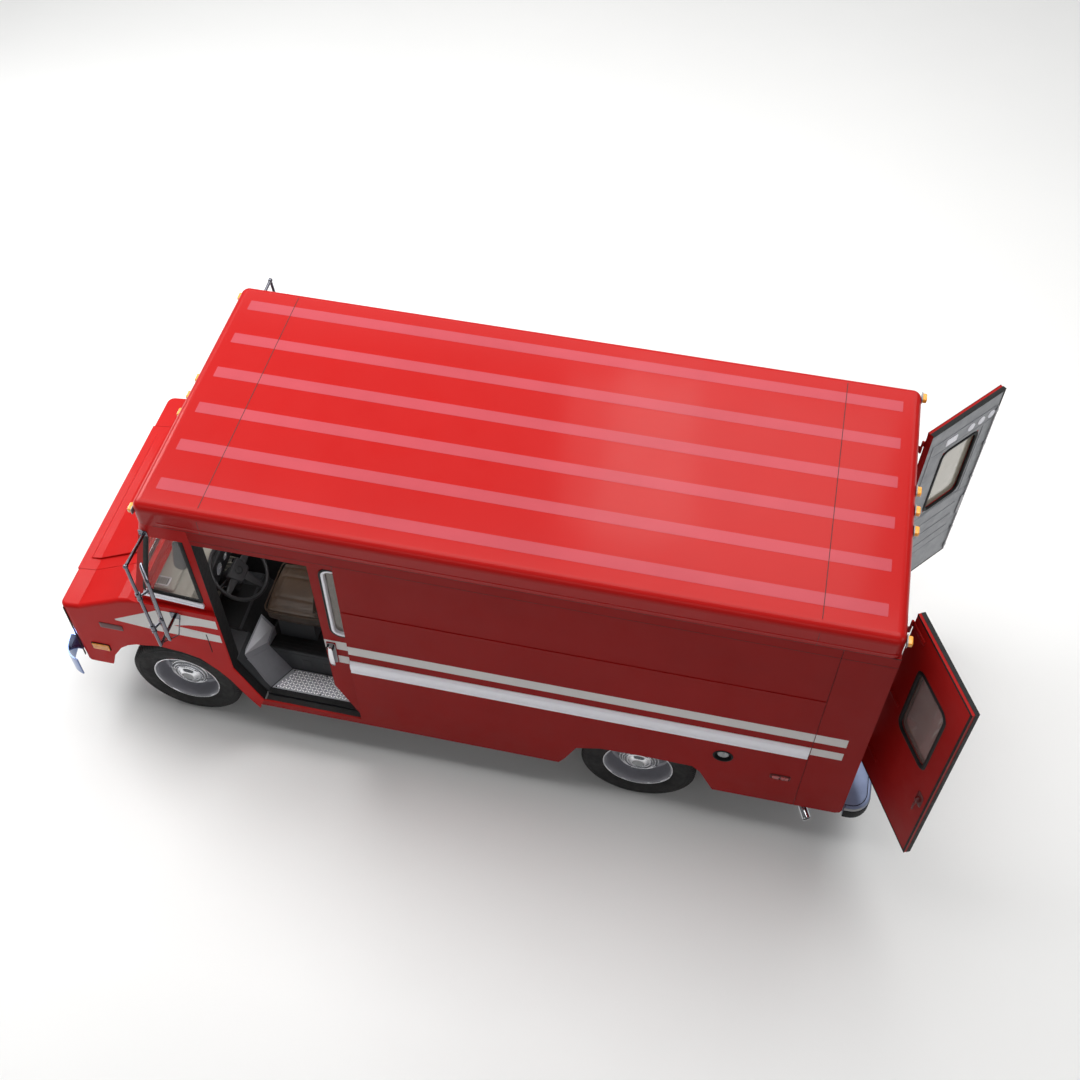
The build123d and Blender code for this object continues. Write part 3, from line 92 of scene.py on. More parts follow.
def make_studio():
    bpy.context.scene.view_settings.view_transform = "Standard"
    world = bpy.data.worlds.new("studio")
    bpy.context.scene.world = world
    world.use_nodes = True
    world.node_tree.nodes["Background"].inputs[0].default_value = (0.95, 0.97, 1.0, 1)
    world.node_tree.nodes["Background"].inputs[1].default_value = 0.1
    area_light("top", (-0.3, -1.2, 10.5), (-0.3, -1.2, 0), (16, 7.4), 1240)
    area_light("soft_window", (-1.6, -5.3, 8.8), (-1.4, 0, 2.57), (3.4, 2.4), 80, (1, 0.97, 0.94))
    area_light("soft_window_near", (-0.3, -4.6, 7.8), (-0.9, 0, 2.57), (1.5, 1.8), 22, (1, 0.97, 0.94))
    area_light("front", (8.0, -2.5, 6.0), (2.6, 0, 1.3), (4.0, 3.5), 420)
    area_light("back", (-8.5, 2.0, 4.0), (-2.0, 0.5, 1.2), (3.0, 3.0), 45)
    area_light("far_floor", (0, -12, 10), (0, -9, 0), (26, 6), 960)
    area_light("near_floor", (0, 12.5, 9.6), (0, 10, 0), (24, 5), 400)
    area_light("left_floor", (9.0, 0.5, 8.5), (9.0, 1.5, 0), (5, 3), 150)
    area_light("cab_fill", (1.36, 0.5, 2.24), (1.4, 0.78, 0.5), (0.55, 0.5), 11)
    area_light("hold_fill", (-0.9, 0, 2.46), (-0.9, 0, 0.7), (2.6, 1.0), 20)


# ------------------------------------------------------------------ materials

class Surface:
    """A Principled material built from object-space noise."""

    def __init__(self, name, colour, rough=0.5, metal=0.0, **sockets):
        self.material = bpy.data.materials.new(name)
        self.material.use_nodes = True
        self.tree = self.material.node_tree
        self.shader = self.tree.nodes["Principled BSDF"]
        self.colour = (*colour, 1)
        self.rough = rough
        self.shader.inputs["Base Color"].default_value = self.colour
        self.shader.inputs["Roughness"].default_value = rough
        self.shader.inputs["Metallic"].default_value = metal
        for key, value in sockets.items():
            self.shader.inputs[key.replace("_", " ")].default_value = value
        self.coord = self.node("ShaderNodeTexCoord").outputs["Object"]
        self.height = None
        self.normal = None
        self.tint = None
        self.material.diffuse_color = self.colour

    def node(self, kind, **settings):
        made = self.tree.nodes.new(kind)
        for key, value in settings.items():
            setattr(made, key, value)
        return made

    def link(self, a, b):
        self.tree.links.new(a, b)

    def stretched(self, scale):
        mapping = self.node("ShaderNodeMapping")
        mapping.inputs["Scale"].default_value = scale
        self.link(self.coord, mapping.inputs["Vector"])
        return mapping.outputs[0]

    def noise(self, scale, detail=3.0, rough=0.55, vector=None):
        made = self.node("ShaderNodeTexNoise")
        made.inputs["Scale"].default_value = scale
        made.inputs["Detail"].default_value = detail
        made.inputs["Roughness"].default_value = rough
        self.link(vector or self.coord, made.inputs["Vector"])
        return made.outputs[0]

    def remap(self, value, low, high, to_low=0.0, to_high=1.0):
        made = self.node("ShaderNodeMapRange")
        for key, number in zip(("From Min", "From Max", "To Min", "To Max"), (low, high, to_low, to_high)):
            made.inputs[key].default_value = number
        self.link(value, made.inputs["Value"])
        return made.outputs[0]

    def math(self, operation, a, b=None, number=None):
        made = self.node("ShaderNodeMath", operation=operation)
        self.link(a, made.inputs[0])
        if b is not None:
            self.link(b, made.inputs[1])
        if number is not None:
            made.inputs[1].default_value = number
        return made.outputs[0]

    def tone(self, fac, colour, amount=1.0):
        """Mix the colour so far towards another, by a factor."""
        made = self.node("ShaderNodeMix", data_type="RGBA")
        if amount < 1:
            fac = self.math("MULTIPLY", fac, number=amount)
        self.link(fac, made.inputs["Factor"])
        if self.tint is None:
            made.inputs["A"].default_value = self.colour
        else:
            self.link(self.tint, made.inputs["A"])
        made.inputs["B"].default_value = (*colour, 1)
        self.tint = made.outputs["Result"]
        self.link(self.tint, self.shader.inputs["Base Color"])
        return self

    def roughness(self, fac, low, high):
        """Vary the roughness, all of it above or below MIRROR_ROUGHNESS."""
        if low < MIRROR_ROUGHNESS < high:
            if low + high > 2 * MIRROR_ROUGHNESS - 0.06:
                low = MIRROR_ROUGHNESS + 0.005
            else:
                high = MIRROR_ROUGHNESS - 0.01
        self.link(self.remap(fac, 0.3, 0.7, low, high), self.shader.inputs["Roughness"])
        return self

    def bump(self, height, strength, distance=0.001):
        made = self.node("ShaderNodeBump")
        made.inputs["Strength"].default_value = strength
        made.inputs["Distance"].default_value = distance
        self.link(height, made.inputs["Height"])
        if self.normal is not None:
            self.link(self.normal, made.inputs["Normal"])
        self.normal = made.outputs[0]
        self.link(self.normal, self.shader.inputs["Normal"])
        return self

    def soft_edges(self, radius):
        made = self.node("ShaderNodeBevel", samples=4)
        made.inputs["Radius"].default_value = radius
        self.normal = made.outputs[0]
        self.link(self.normal, self.shader.inputs["Normal"])
        return self

    def dust(self, colour, top, reach, amount):
        """Road dust that fades out with height above the ground."""
        split = self.node("ShaderNodeSeparateXYZ")
        self.link(self.coord, split.inputs[0])
        fade = self.remap(split.outputs["Z"], top - reach, top, 1.0, 0.0)
        patchy = self.math("MULTIPLY", fade, self.remap(self.noise(5, 6, 0.65), 0.35, 0.75))
        return self.tone(patchy, colour, amount)


def paint(name, colour, rough=0.32, darker=0.8, edges=0.002, dust=0.0, coat=0.2, peel=0.05, gloss=0.08,
          level=0.2):
    s = Surface(name, colour, rough, Coat_Weight=coat, Coat_Roughness=gloss, Specular_IOR_Level=level)
    s.soft_edges(edges)
    s.tone(s.remap(s.noise(1.3, 4, 0.6), 0.35, 0.7), [c * darker for c in colour], 0.55)
    if dust:
        s.dust(ROAD_DUST, 0.95, 0.75, dust)
    s.roughness(s.noise(4, 5, 0.6), rough - 0.06, rough + 0.1)
    s.bump(s.noise(420, 2, 0.5), peel, 0.0004)
    s.bump(s.noise(2.2, 2, 0.5), 0.05, 0.004)
    return s.material


def bare_metal(name, colour, rough, metal=1.0, grain=(1, 1, 1), grain_scale=300, mottled=0.35, bump=0.08,
               edges=0.0015):
    s = Surface(name, colour, rough, metal)
    s.soft_edges(edges)
    s.tone(s.remap(s.noise(9, 6, 0.65), 0.35, 0.7), [c * 0.62 for c in colour], mottled)
    s.tone(s.remap(s.noise(120, 4, 0.7), 0.6, 0.75), [min(1, c * 1.3) for c in colour], 0.25)
    fine = s.noise(grain_scale, 4, 0.6, s.stretched(grain))
    s.roughness(s.noise(14, 6, 0.7), max(0.03, rough - 0.1), rough + 0.14)
    s.bump(fine, bump, 0.0005)
    return s.material


def moulded(name, colour, rough, grain_scale=700, bump=0.25, mottled=0.3, edges=0.0015, coat=0.0, level=0.4):
    s = Surface(name, colour, rough, Coat_Weight=coat, Coat_Roughness=0.1, Specular_IOR_Level=level)
    s.soft_edges(edges)
    s.tone(s.remap(s.noise(6, 5, 0.6), 0.35, 0.7), [c * 0.6 for c in colour], mottled)
    s.tone(s.remap(s.noise(40, 5, 0.7), 0.58, 0.78), [min(1, c * 1.5 + 0.004) for c in colour], 0.25)
    cells = s.node("ShaderNodeTexVoronoi")
    cells.inputs["Scale"].default_value = grain_scale
    s.link(s.coord, cells.inputs["Vector"])
    s.roughness(s.noise(30, 4, 0.6), rough - 0.08, rough + 0.08)
    s.bump(cells.outputs["Distance"], bump, 0.0006)
    return s.material


def vinyl():
    s = Surface("seat_vinyl", (0.036, 0.02, 0.01), 0.45, Sheen_Weight=0.0, Coat_Weight=0.0,
                Specular_IOR_Level=0.22, Coat_Roughness=0.25)
    s.tone(s.remap(s.noise(5, 5, 0.6), 0.35, 0.7), (0.018, 0.011, 0.007), 0.7)
    s.tone(s.remap(s.noise(26, 6, 0.7), 0.55, 0.75), (0.075, 0.045, 0.025), 0.3)
    cells = s.node("ShaderNodeTexVoronoi", feature="DISTANCE_TO_EDGE")
    cells.inputs["Scale"].default_value = 420
    s.link(s.coord, cells.inputs["Vector"])
    s.roughness(s.noise(18, 5, 0.6), 0.34, 0.56)
    s.bump(s.noise(9, 3, 0.5), 0.35, 0.006)
    s.bump(s.remap(cells.outputs["Distance"], 0.0, 0.12), 0.35, 0.0005)
    return s.material


def tyre_rubber():
    s = Surface("tyre_rubber", (0.017, 0.017, 0.018), 0.72, Specular_IOR_Level=0.25)
    s.tone(s.remap(s.noise(7, 6, 0.65), 0.4, 0.7), (0.034, 0.033, 0.032), 0.8)
    s.tone(s.remap(s.noise(90, 5, 0.7), 0.55, 0.75), (0.045, 0.042, 0.039), 0.35)
    s.roughness(s.noise(20, 5, 0.6), 0.58, 0.85)
    s.bump(s.noise(500, 3, 0.6), 0.3, 0.0005)
    return s.material


def glass(name, colour, alpha, rough=0.03):
    s = Surface(name, colour, rough, Alpha=alpha, IOR=1.52, Specular_IOR_Level=0.6, Coat_Weight=0.5,
                Coat_Roughness=0.02)
    s.tone(s.remap(s.noise(6, 5, 0.7), 0.5, 0.8), [min(1, c * 1.35 + 0.02) for c in colour], 0.4)
    s.roughness(s.noise(11, 5, 0.7), rough, rough + 0.06)
    s.bump(s.noise(3, 2), 0.04, 0.002)
    return s.material


def lens(name, colour, alpha, stripe=(0, 1, 0), count=170, glow=0.0):
    s = Surface(name, colour, 0.14, Alpha=alpha, Coat_Weight=0.8, Coat_Roughness=0.04,
                Emission_Color=(*colour, 1), Emission_Strength=glow)
    wave = s.node("ShaderNodeTexWave", bands_direction="XYZ"[stripe.index(1)])
    wave.inputs["Scale"].default_value = count / 6.0
    s.link(s.coord, wave.inputs["Vector"])
    s.tone(s.remap(s.noise(40, 4), 0.4, 0.7), [c * 0.55 for c in colour], 0.5)
    s.bump(wave.outputs[0], 0.5, 0.0015)
    return s.material


def make_materials():
    m = {}
    # One red paint in three copies: darker on the sides as painted shade, lighter on the nose and roof as
    # painted light.
    m["red"] = paint("red_paint_shaded_copy", (0.315, 0.008, 0.007), rough=0.36, coat=0.03, level=0.06, dust=0.08)
    m["lit_nose_red"] = paint("red_paint_lit_nose_copy", (0.5, 0.01, 0.009), rough=0.36, coat=0.04, level=0.06, dust=0.05)
    m["roof"] = paint("roof_paint", (0.42, 0.009, 0.008), rough=0.36, darker=0.93, coat=0.22, gloss=0.12,
                      level=0.08)
    m["roof_band"] = paint("roof_band_paint", (0.46, 0.066, 0.082), rough=0.38, edges=0.0005, coat=0.1,
                           level=0.1)
    m["stripe"] = paint("stripe_tape", (0.72, 0.7, 0.69), rough=0.4, darker=0.92, edges=0.0004, coat=0.1)
    m["badge"] = paint("badge_plate", (0.11, 0.01, 0.01), rough=0.35, edges=0.001)
    m["inside_grey"] = paint("inside_grey_paint", (0.17, 0.18, 0.19), rough=0.42, coat=0.2, peel=0.1)
    m["inside_dark"] = paint("inside_dark_paint", (0.035, 0.037, 0.04), rough=0.42, coat=0.3, peel=0.1)
    m["inside_white"] = paint("inside_light_paint", (0.42, 0.42, 0.41), rough=0.5, coat=0.1, peel=0.1)
    m["chassis"] = paint("chassis_black", (0.022, 0.022, 0.024), rough=0.5, coat=0.1, dust=0.5)
    m["seam"] = moulded("seam_sealant", (0.02, 0.012, 0.012), 0.6)
    m["aluminium"] = bare_metal("rail_aluminium", (0.93, 0.93, 0.99), 0.42, metal=0.15, grain=(0.04, 1, 1),
                                grain_scale=500, mottled=0.06, bump=0.015)
    m["tread_plate"] = bare_metal("tread_plate_aluminium", (0.34, 0.35, 0.38), 0.4, metal=0.3, mottled=0.3)
    # The raised lozenges are the plate's own aluminium, made near white as a painted highlight.
    m["tread_raised"] = bare_metal("tread_lozenge_painted_highlight", (0.98, 0.98, 1.0), 0.34, metal=0.2, mottled=0.1)
    m["floor_plate"] = bare_metal("floor_aluminium", (0.5, 0.51, 0.53), 0.45, grain=(0.1, 1, 1), mottled=0.5)
    m["satin_steel"] = bare_metal("satin_steel", (0.34, 0.345, 0.36), 0.4, metal=0.35, grain=(1, 0.08, 1),
                                  mottled=0.3, bump=0.03)
    m["kick_plate"] = bare_metal("kick_plate_steel", (0.22, 0.225, 0.245), 0.42, metal=0.3, mottled=0.3,
                                 bump=0.03)
    m["door_metal"] = bare_metal("door_inner_metal", (0.27, 0.28, 0.3), 0.42, metal=0.4, mottled=0.3,
                                 grain=(1, 1, 0.05), grain_scale=260, bump=0.05)
    m["ledge_plate"] = bare_metal("ledge_plate_steel", (0.38, 0.385, 0.41), 0.42, metal=0.3, mottled=0.25,
                                  bump=0.03)
    m["chrome"] = bare_metal("bright_chrome", (0.8, 0.81, 0.84), 0.09, mottled=0.06, bump=0.0)
    # Chrome with its colour darkened as a painted dark reflection.
    m["arm_chrome_painted_dark_reflection"] = bare_metal("arm_chrome_painted_dark_reflection", (0.15, 0.15, 0.175), 0.16, mottled=0.06, bump=0.0)
    # Chrome tinted blue as a painted reflection of sky.
    m["bumper_chrome_painted_blue_reflection"] = bare_metal("bumper_chrome_painted_blue_reflection", (0.17, 0.23, 0.42), 0.12, mottled=0.08, bump=0.0)
    m["mirror"] = bare_metal("mirror_face", (0.93, 0.94, 0.95), 0.03, mottled=0.03, bump=0.0)
    m["wheel"] = bare_metal("wheel_silver", (0.42, 0.42, 0.46), 0.44, metal=0.45, mottled=0.35,
                            grain_scale=160, bump=0.2)
    m["cast"] = bare_metal("cast_iron", (0.11, 0.11, 0.115), 0.62, metal=0.5, mottled=0.5, grain_scale=130,
                           bump=0.5)
    m["pipe"] = bare_metal("pipe_steel", (0.42, 0.4, 0.37), 0.42, mottled=0.6)
    m["bumper_blue"] = bare_metal("bumper_steel", (0.22, 0.27, 0.42), 0.4, metal=0.45, mottled=0.3,
                                  grain_scale=260, bump=0.35)
    m["rubber"] = moulded("black_rubber", (0.007, 0.007, 0.0075), 0.6, grain_scale=900, bump=0.1,
                          mottled=0.2, level=0.25)
    m["plastic"] = moulded("black_plastic", (0.014, 0.014, 0.015), 0.45, level=0.2)
    m["dash"] = moulded("dash_plastic", (0.27, 0.262, 0.225), 0.55, grain_scale=500, level=0.2)
    m["cover"] = moulded("cover_plastic", (0.012, 0.012, 0.0125), 0.6, grain_scale=350, level=0.15)
    m["cap"] = moulded("cap_plastic", (0.42, 0.43, 0.44), 0.38, grain_scale=400, bump=0.1)
    m["cap_dark"] = moulded("hub_dark_plastic", (0.1, 0.1, 0.105), 0.4, grain_scale=400, bump=0.1)
    m["tyre"] = tyre_rubber()
    m["vinyl"] = vinyl()
    m["glass"] = glass("window_glass", (0.2, 0.21, 0.19), 0.11)
    m["door_glass"] = glass("door_window_glass", (0.15, 0.125, 0.095), 0.72)
    # One glass in two nearly opaque copies, coloured as painted reflections: dark reddish on the left door,
    # pale beige on the right.
    m["rear_glass_left_painted_reflection"] = glass("rear_glass_left_painted_reflection", (0.2, 0.135, 0.125), 0.82, 0.1)
    m["rear_glass_right_painted_reflection"] = glass("rear_glass_right_painted_reflection", (0.5, 0.465, 0.38), 0.7, 0.1)
    m["lamp_glass"] = glass("lamp_glass", (0.85, 0.87, 0.88), 0.28)
    m["amber"] = lens("amber_lens", (0.9, 0.36, 0.03), 1.0, glow=0.06)
    m["amber_side"] = lens("amber_side_lens", (0.85, 0.3, 0.02), 1.0, stripe=(1, 0, 0), glow=0.04)
    m["red_lens"] = lens("red_lens", (0.4, 0.012, 0.01), 1.0, stripe=(1, 0, 0), glow=0.01)
    m["tail_lens"] = lens("tail_lens", (0.5, 0.015, 0.012), 1.0, glow=0.02)
    m["dial"] = moulded("dial_face", (0.7, 0.7, 0.66), 0.5, bump=0.0)
    return m


# ------------------------------------------------------------------ mesh tools

class Plane:
    """A frame on a surface: a runs along u, b along v, c out along n."""

    def __init__(self, origin, u, v, n):
        self.origin, self.u, self.v, self.n = Vector(origin), Vector(u), Vector(v), Vector(n)

    def at(self, a, b, c=0.0):
        return self.origin + self.u * a + self.v * b + self.n * c

    def raised(self, c):
        """The same plane, moved out along its normal."""
        return Plane(self.at(0, 0, c), self.u, self.v, self.n)

    def turned_over(self, c=0.0):
        """The plane seen from behind, moved out along its old normal first."""
        return Plane(self.at(0, 0, c), self.u, self.v, -self.n)


def side_plane(side, y):
    """The vertical plane at a distance from the middle, facing outwards on the left (1) or right (-1)."""
    return Plane((0, side * y, 0), X, Z, Y * side)


def level_plane(z):
    return Plane((0, 0, z), X, Y, Z)


def shield_plane():
    """The windscreen's outer face from its foot upwards, and how far it reaches."""
    run, rise = SHIELD_HEAD[0] - SHIELD_FOOT[0], SHIELD_HEAD[1] - SHIELD_FOOT[1]
    reach = sqrt(run ** 2 + rise ** 2)
    up = Vector((run, 0, rise)) / reach
    out = Vector((rise, 0, -run)) / reach
    return Plane((SHIELD_FOOT[0], 0, SHIELD_FOOT[1]), Y, up, out), reach


def finished_mesh(name, bm, look, smooth):
    bmesh.ops.recalc_face_normals(bm, faces=bm.faces[:])
    mesh = bpy.data.meshes.new(name)
    bm.to_mesh(mesh)
    bm.free()
    mesh.materials.append(materials[look])
    mesh.polygons.foreach_set("use_smooth", [True] * len(mesh.polygons))
    mesh.set_sharp_from_angle(angle=radians(smooth))
    return mesh


def shown_object(name, mesh):
    obj = bpy.data.objects.new(name, mesh)
    bpy.context.scene.collection.objects.link(obj)
    return obj


def piece(name, bm, look, body=ROOT, replaces=(), smooth=40, subdivide=0):
    """Turn a bmesh into a finished piece that rides on a CAD body."""
    obj = shown_object(name, finished_mesh(name, bm, look, smooth))
    if subdivide:
        layer = obj.modifiers.new("smooth", "SUBSURF")
        layer.levels = layer.render_levels = subdivide
    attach(obj, body)
    if replaces:
        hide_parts(*replaces)
    return obj


def basis(axis):
    axis = Vector(axis).normalized()
    helper = Z if abs(axis.z) < 0.9 else X
    first = axis.cross(helper).normalized()
    return axis, first, axis.cross(first).normalized()


def mm(*points):
    """Points of a profile or outline, given in millimetres."""
    return [(a / 1000, b / 1000) for a, b in points]


def lathe(bm, origin, axis, profile, segments=48, closed=False, angles=None, wobble=None):
    """Turn (along, radius) points round an axis. wobble(i, j, along, radius) may move a point."""
    axis, first, second = basis(axis)
    origin = Vector(origin)
    turns = angles or [2 * pi * i / segments for i in range(segments)]
    rings = []
    for i, angle in enumerate(turns):
        out = first * cos(angle) + second * sin(angle)
        ring = []
        for j, (along, radius) in enumerate(profile):
            if wobble:
                along, radius = wobble(i, j, along, radius)
            ring.append(bm.verts.new(origin + axis * along + out * radius))
        rings.append(ring)
    count = len(profile)
    for i in range(len(rings)):
        a, b = rings[i], rings[(i + 1) % len(rings)]
        for j in range(count if closed else count - 1):
            k = (j + 1) % count
            bm.faces.new((a[j], a[k], b[k], b[j]))
    if not closed:
        for j in (0, count - 1):
            if profile[j][1] > 1e-6:
                bm.faces.new([ring[j] for ring in rings])
    bmesh.ops.remove_doubles(bm, verts=bm.verts[:], dist=1e-6)


def disc(bm, plane, a, b, profile, segments=32):
    """Lathe on a plane's surface at (a, b), along its normal."""
    lathe(bm, plane.at(a, b), plane.n, profile, segments)


def box(bm, low, high, bevel=0.0, segments=2):
    made = bmesh.ops.create_cube(bm, size=1.0)["verts"]
    low, high = Vector(low), Vector(high)
    middle, size = (low + high) / 2, high - low
    for v in made:
        v.co = middle + Vector((v.co.x * size.x, v.co.y * size.y, v.co.z * size.z))
    if bevel:
        edges = list(dict.fromkeys(e for v in made for e in v.link_edges))
        bmesh.ops.bevel(bm, geom=edges, offset=bevel, segments=segments, affect="EDGES", profile=0.5)


def brick(bm, plane, a, b, c, bevel=0.0):
    """A box between (low, high) pairs in a plane's frame, with chamfered top edges."""
    outline = [(a[0], b[0]), (a[1], b[0]), (a[1], b[1]), (a[0], b[1])]
    plate(bm, plane, outline, c, bevel)


def inset(points, distance):
    """Move a closed 2D outline inwards by a distance."""
    area = sum(p[0] * q[1] - q[0] * p[1] for p, q in zip(points, points[1:] + points[:1]))
    sign = 1 if area > 0 else -1
    moved = []
    for i, p in enumerate(points):
        before, after = points[i - 1], points[(i + 1) % len(points)]
        d1 = Vector((p[0] - before[0], p[1] - before[1])).normalized()
        d2 = Vector((after[0] - p[0], after[1] - p[1])).normalized()
        n1, n2 = Vector((-d1.y, d1.x)), Vector((-d2.y, d2.x))
        mid = n1 + n2
        reach = distance * sign / max(0.3, 0.5 * mid.length_squared)
        moved.append((p[0] + mid.x * reach, p[1] + mid.y * reach))
    return moved


def skin(bm, loops, joined=False):
    """Faces between neighbouring loops of vertices. They join up, or a face closes each end."""
    for a, b in zip(loops, loops[1:] + loops[:1] if joined else loops[1:]):
        for i in range(len(a)):
            j = (i + 1) % len(a)
            bm.faces.new((a[i], a[j], b[j], b[i]))
    if not joined:
        bm.faces.new(loops[0])
        bm.faces.new(loops[-1])


def plate(bm, plane, outline, c, bevel=0.0, rounds=1):
    """A flat plate from c[0] to c[1] out of the plane, with a rounded top edge."""
    levels = [(outline, c[0])]
    if bevel:
        for step in range(rounds + 1):
            angle = pi / 2 * step / max(1, rounds)
            levels.append((inset(outline, bevel * (1 - cos(angle))), c[1] - bevel * (1 - sin(angle))))
    else:
        levels.append((outline, c[1]))
    skin(bm, [[bm.verts.new(plane.at(a, b, height)) for a, b in points] for points, height in levels])


def rounded(width, height, radius, centre=(0, 0), steps=8):
    points = []
    for k, (sx, sy) in enumerate(((1, 1), (-1, 1), (-1, -1), (1, -1))):
        for i in range(steps + 1):
            angle = pi / 2 * (k + i / steps)
            points.append((centre[0] + sx * (width / 2 - radius) + radius * cos(angle),
                           centre[1] + sy * (height / 2 - radius) + radius * sin(angle)))
    return points


def rounded_polygon(corners, radius, steps=6):
    """Round the corners of a 2D outline."""
    points = []
    for i, p in enumerate(corners):
        p = Vector(p)
        before = (Vector(corners[i - 1]) - p).normalized()
        after = (Vector(corners[(i + 1) % len(corners)]) - p).normalized()
        start, stop = p + before * radius, p + after * radius
        for k in range(steps + 1):
            t = k / steps
            q = start * (1 - t) ** 2 + p * 2 * t * (1 - t) + stop * t * t
            points.append((q.x, q.y))
    return points


def ring(bm, plane, path, section):
    """Sweep a closed section of (outwards, height) points round a closed 2D path."""
    loops = []
    levels = {}
    for out, height in section:
        if out not in levels:
            levels[out] = inset(path, -out)
        loops.append([bm.verts.new(plane.at(a, b, height)) for a, b in levels[out]])
    skin(bm, loops, joined=True)


def tube(bm, points, radius, segments=12, closed=False, flat=1.0):
    """A round tube along points, with its ends closed."""
    points = [Vector(p) for p in points]
    count = len(points)
    rings = []
    reference = None
    for i, p in enumerate(points):
        if closed:
            along = points[(i + 1) % count] - points[i - 1]
        else:
            along = points[min(i + 1, count - 1)] - points[max(i - 1, 0)]
        along.normalize()
        if reference is None:
            reference = basis(along)[1]
        first = (reference - along * reference.dot(along)).normalized()
        second = along.cross(first)
        reference = first
        rings.append([bm.verts.new(p + first * radius * cos(2 * pi * k / segments)
                                   + second * radius * flat * sin(2 * pi * k / segments))
                      for k in range(segments)])
    skin(bm, rings, joined=closed)


def smooth_path(points, steps=8):
    """Catmull-Rom curve through points."""
    points = [Vector(p) for p in points]
    padded = [points[0] * 2 - points[1]] + points + [points[-1] * 2 - points[-2]]
    made = []
    for i in range(1, len(padded) - 2):
        p0, p1, p2, p3 = padded[i - 1:i + 3]
        for k in range(steps):
            t = k / steps
            made.append(0.5 * ((2 * p1) + (p2 - p0) * t + (2 * p0 - 5 * p1 + 4 * p2 - p3) * t * t
                               + (3 * p1 - p0 - 3 * p2 + p3) * t ** 3))
    made.append(points[-1])
    return made


def screw_heads(bm, plane, spots, radius=0.0045, height=0.002):
    for a, b in spots:
        disc(bm, plane, a, b, [(0, radius), (height * 0.6, radius * 0.9), (height, radius * 0.5),
                               (height, 0)], 12)


# ------------------------------------------------------------------ carried-over CAD nodes

def dress_cad_nodes():
    # The side panels, doors and rear frame take the body red darkened as painted shade; the cab front, nose,
    # hood and roof take the same paint lightened as painted light.
    looks = {
        "red": ["left_side_panel", "right_side_panel", "left_door", "right_door", "rear_left_door",
                "rear_right_door", "rear_frame"],
        "lit_nose_red": ["cab_front", "nose", "hood"],
        "roof": ["roof"],
        "chrome": ["grille"],
        # The mirror arms take chrome darkened as a painted dark reflection.
        "arm_chrome_painted_dark_reflection": ["mirror_arms"],
        # The front bumper takes chrome tinted blue as a painted reflection of sky.
        "bumper_chrome_painted_blue_reflection": ["front_bumper"],
        "glass": ["cab_glass"],
        "door_glass": ["left_door_window", "right_door_window"],
        # The rear windows take glass coloured as painted reflections.
        "rear_glass_left_painted_reflection": ["rear_left_window"],
        "rear_glass_right_painted_reflection": ["rear_right_window"],
        "chassis": ["chassis_frame", "front_axle_beam", "leaf_springs", "left_knuckle", "right_knuckle",
                    "rear_axle_housing", "fuel_tank"],
        "cast": ["engine", "driveshaft"],
        "pipe": ["exhaust_system"],
        "rubber": ["brake_pedal", "accelerator_pedal"],
        "plastic": ["steering_column", "left_wiper", "right_wiper", "sun_visor"],
        "dash": ["dash_panel"],
        "cover": ["engine_cover"],
        "cap": ["fuel_cap"],
        "floor_plate": ["cargo_floor"],
        "inside_dark": ["cab_floor"],
        "bumper_blue": ["rear_bumper"],
    }
    for look, names in looks.items():
        for name in names:
            obj = nodes[name]
            obj.data.materials.clear()
            obj.data.materials.append(materials[look])


# ------------------------------------------------------------------ wheels

def spoke(angle):
    """Outwards and onwards at an angle round the axle."""
    return Vector((cos(angle), 0, sin(angle))), Vector((-sin(angle), 0, cos(angle)))


def tyre_mesh():
    side = mm((-78, 244), (-84, 250), (-88, 262), (-93.5, 280), (-97.5, 300), (-99.2, 318), (-98.8, 340),
              (-97.2, 356), (-98.5, 358.5), (-98.5, 363.5), (-96.2, 366), (-95, 376), (-92, 387),
              (-86.5, 396.5), (-80, 403.5))
    tread = [-0.0745, -0.0535, -0.0515, -0.0475, -0.0455, -0.022, -0.02, -0.016, -0.014]
    tread = tread + [-y for y in reversed(tread)]
    deep = {2, 3, 6, 7, 10, 11, 14, 15}
    profile = list(side)
    for k, y in enumerate(tread):
        profile.append((y, TYRE_RADIUS - 0.0045 * (y / 0.076) ** 2 - (0.008 if k in deep else 0.0)))
    profile += [(-y, r) for y, r in reversed(side)]
    first = len(side)
    pitches = 84
    angles = []
    for i in range(pitches):
        for t in (0.0, 0.36, 0.42, 0.58, 0.64):
            angles.append(2 * pi * (i + t) / pitches)

    def wobble(i, j, along, radius):
        phase = i % 5
        zigzag = 0.0022 if (i // 5) % 2 else -0.0022
        k = j - first
        if 0 <= k < len(tread):
            if 1 <= k <= len(tread) - 2:
                along += zigzag
            if phase in (2, 3) and k not in deep and not 8 <= k <= 9:
                radius -= 0.005
        elif j in (first - 1, first - 2, first + len(tread), first + len(tread) + 1) and phase in (2, 3):
            radius -= 0.004
        return along, radius

    bm = bmesh.new()
    lathe(bm, (0, 0, 0), Y, profile, angles=angles, wobble=wobble, closed=True)
    for out in (1, -1):
        for turn in range(0, 360, 6):
            radial, around = spoke(radians(turn))
            spot = Plane(radial * 0.349 + Y * out * 0.0977, around, radial, Y * out)
            brick(bm, spot, (-0.0008, 0.0008), (-0.005, 0.005), (-0.001, 0.0006))
    return bm


def rim_mesh():
    profile = mm((-79, 237.5), (-86, 239), (-87.5, 250), (-83.5, 251.2), (-83.5, 247.5), (-80, 233),
                 (-50, 228), (-36, 227.5), (-44, 205), (-40, 177), (-18, 154), (10, 146), (16, 100),
                 (20.5, 100), (16.5, 149.5), (-12, 159), (-34, 180), (-38, 203), (-28, 219), (-12, 224.5),
                 (40, 226.5), (66, 230), (79.5, 235), (84, 240), (85, 246.5), (86.8, 251), (88.5, 250),
                 (88.5, 244), (86, 238.5), (79, 237.5))
    bm = bmesh.new()
    lathe(bm, (0, 0, 0), Y, profile, 96, closed=True)
    return bm


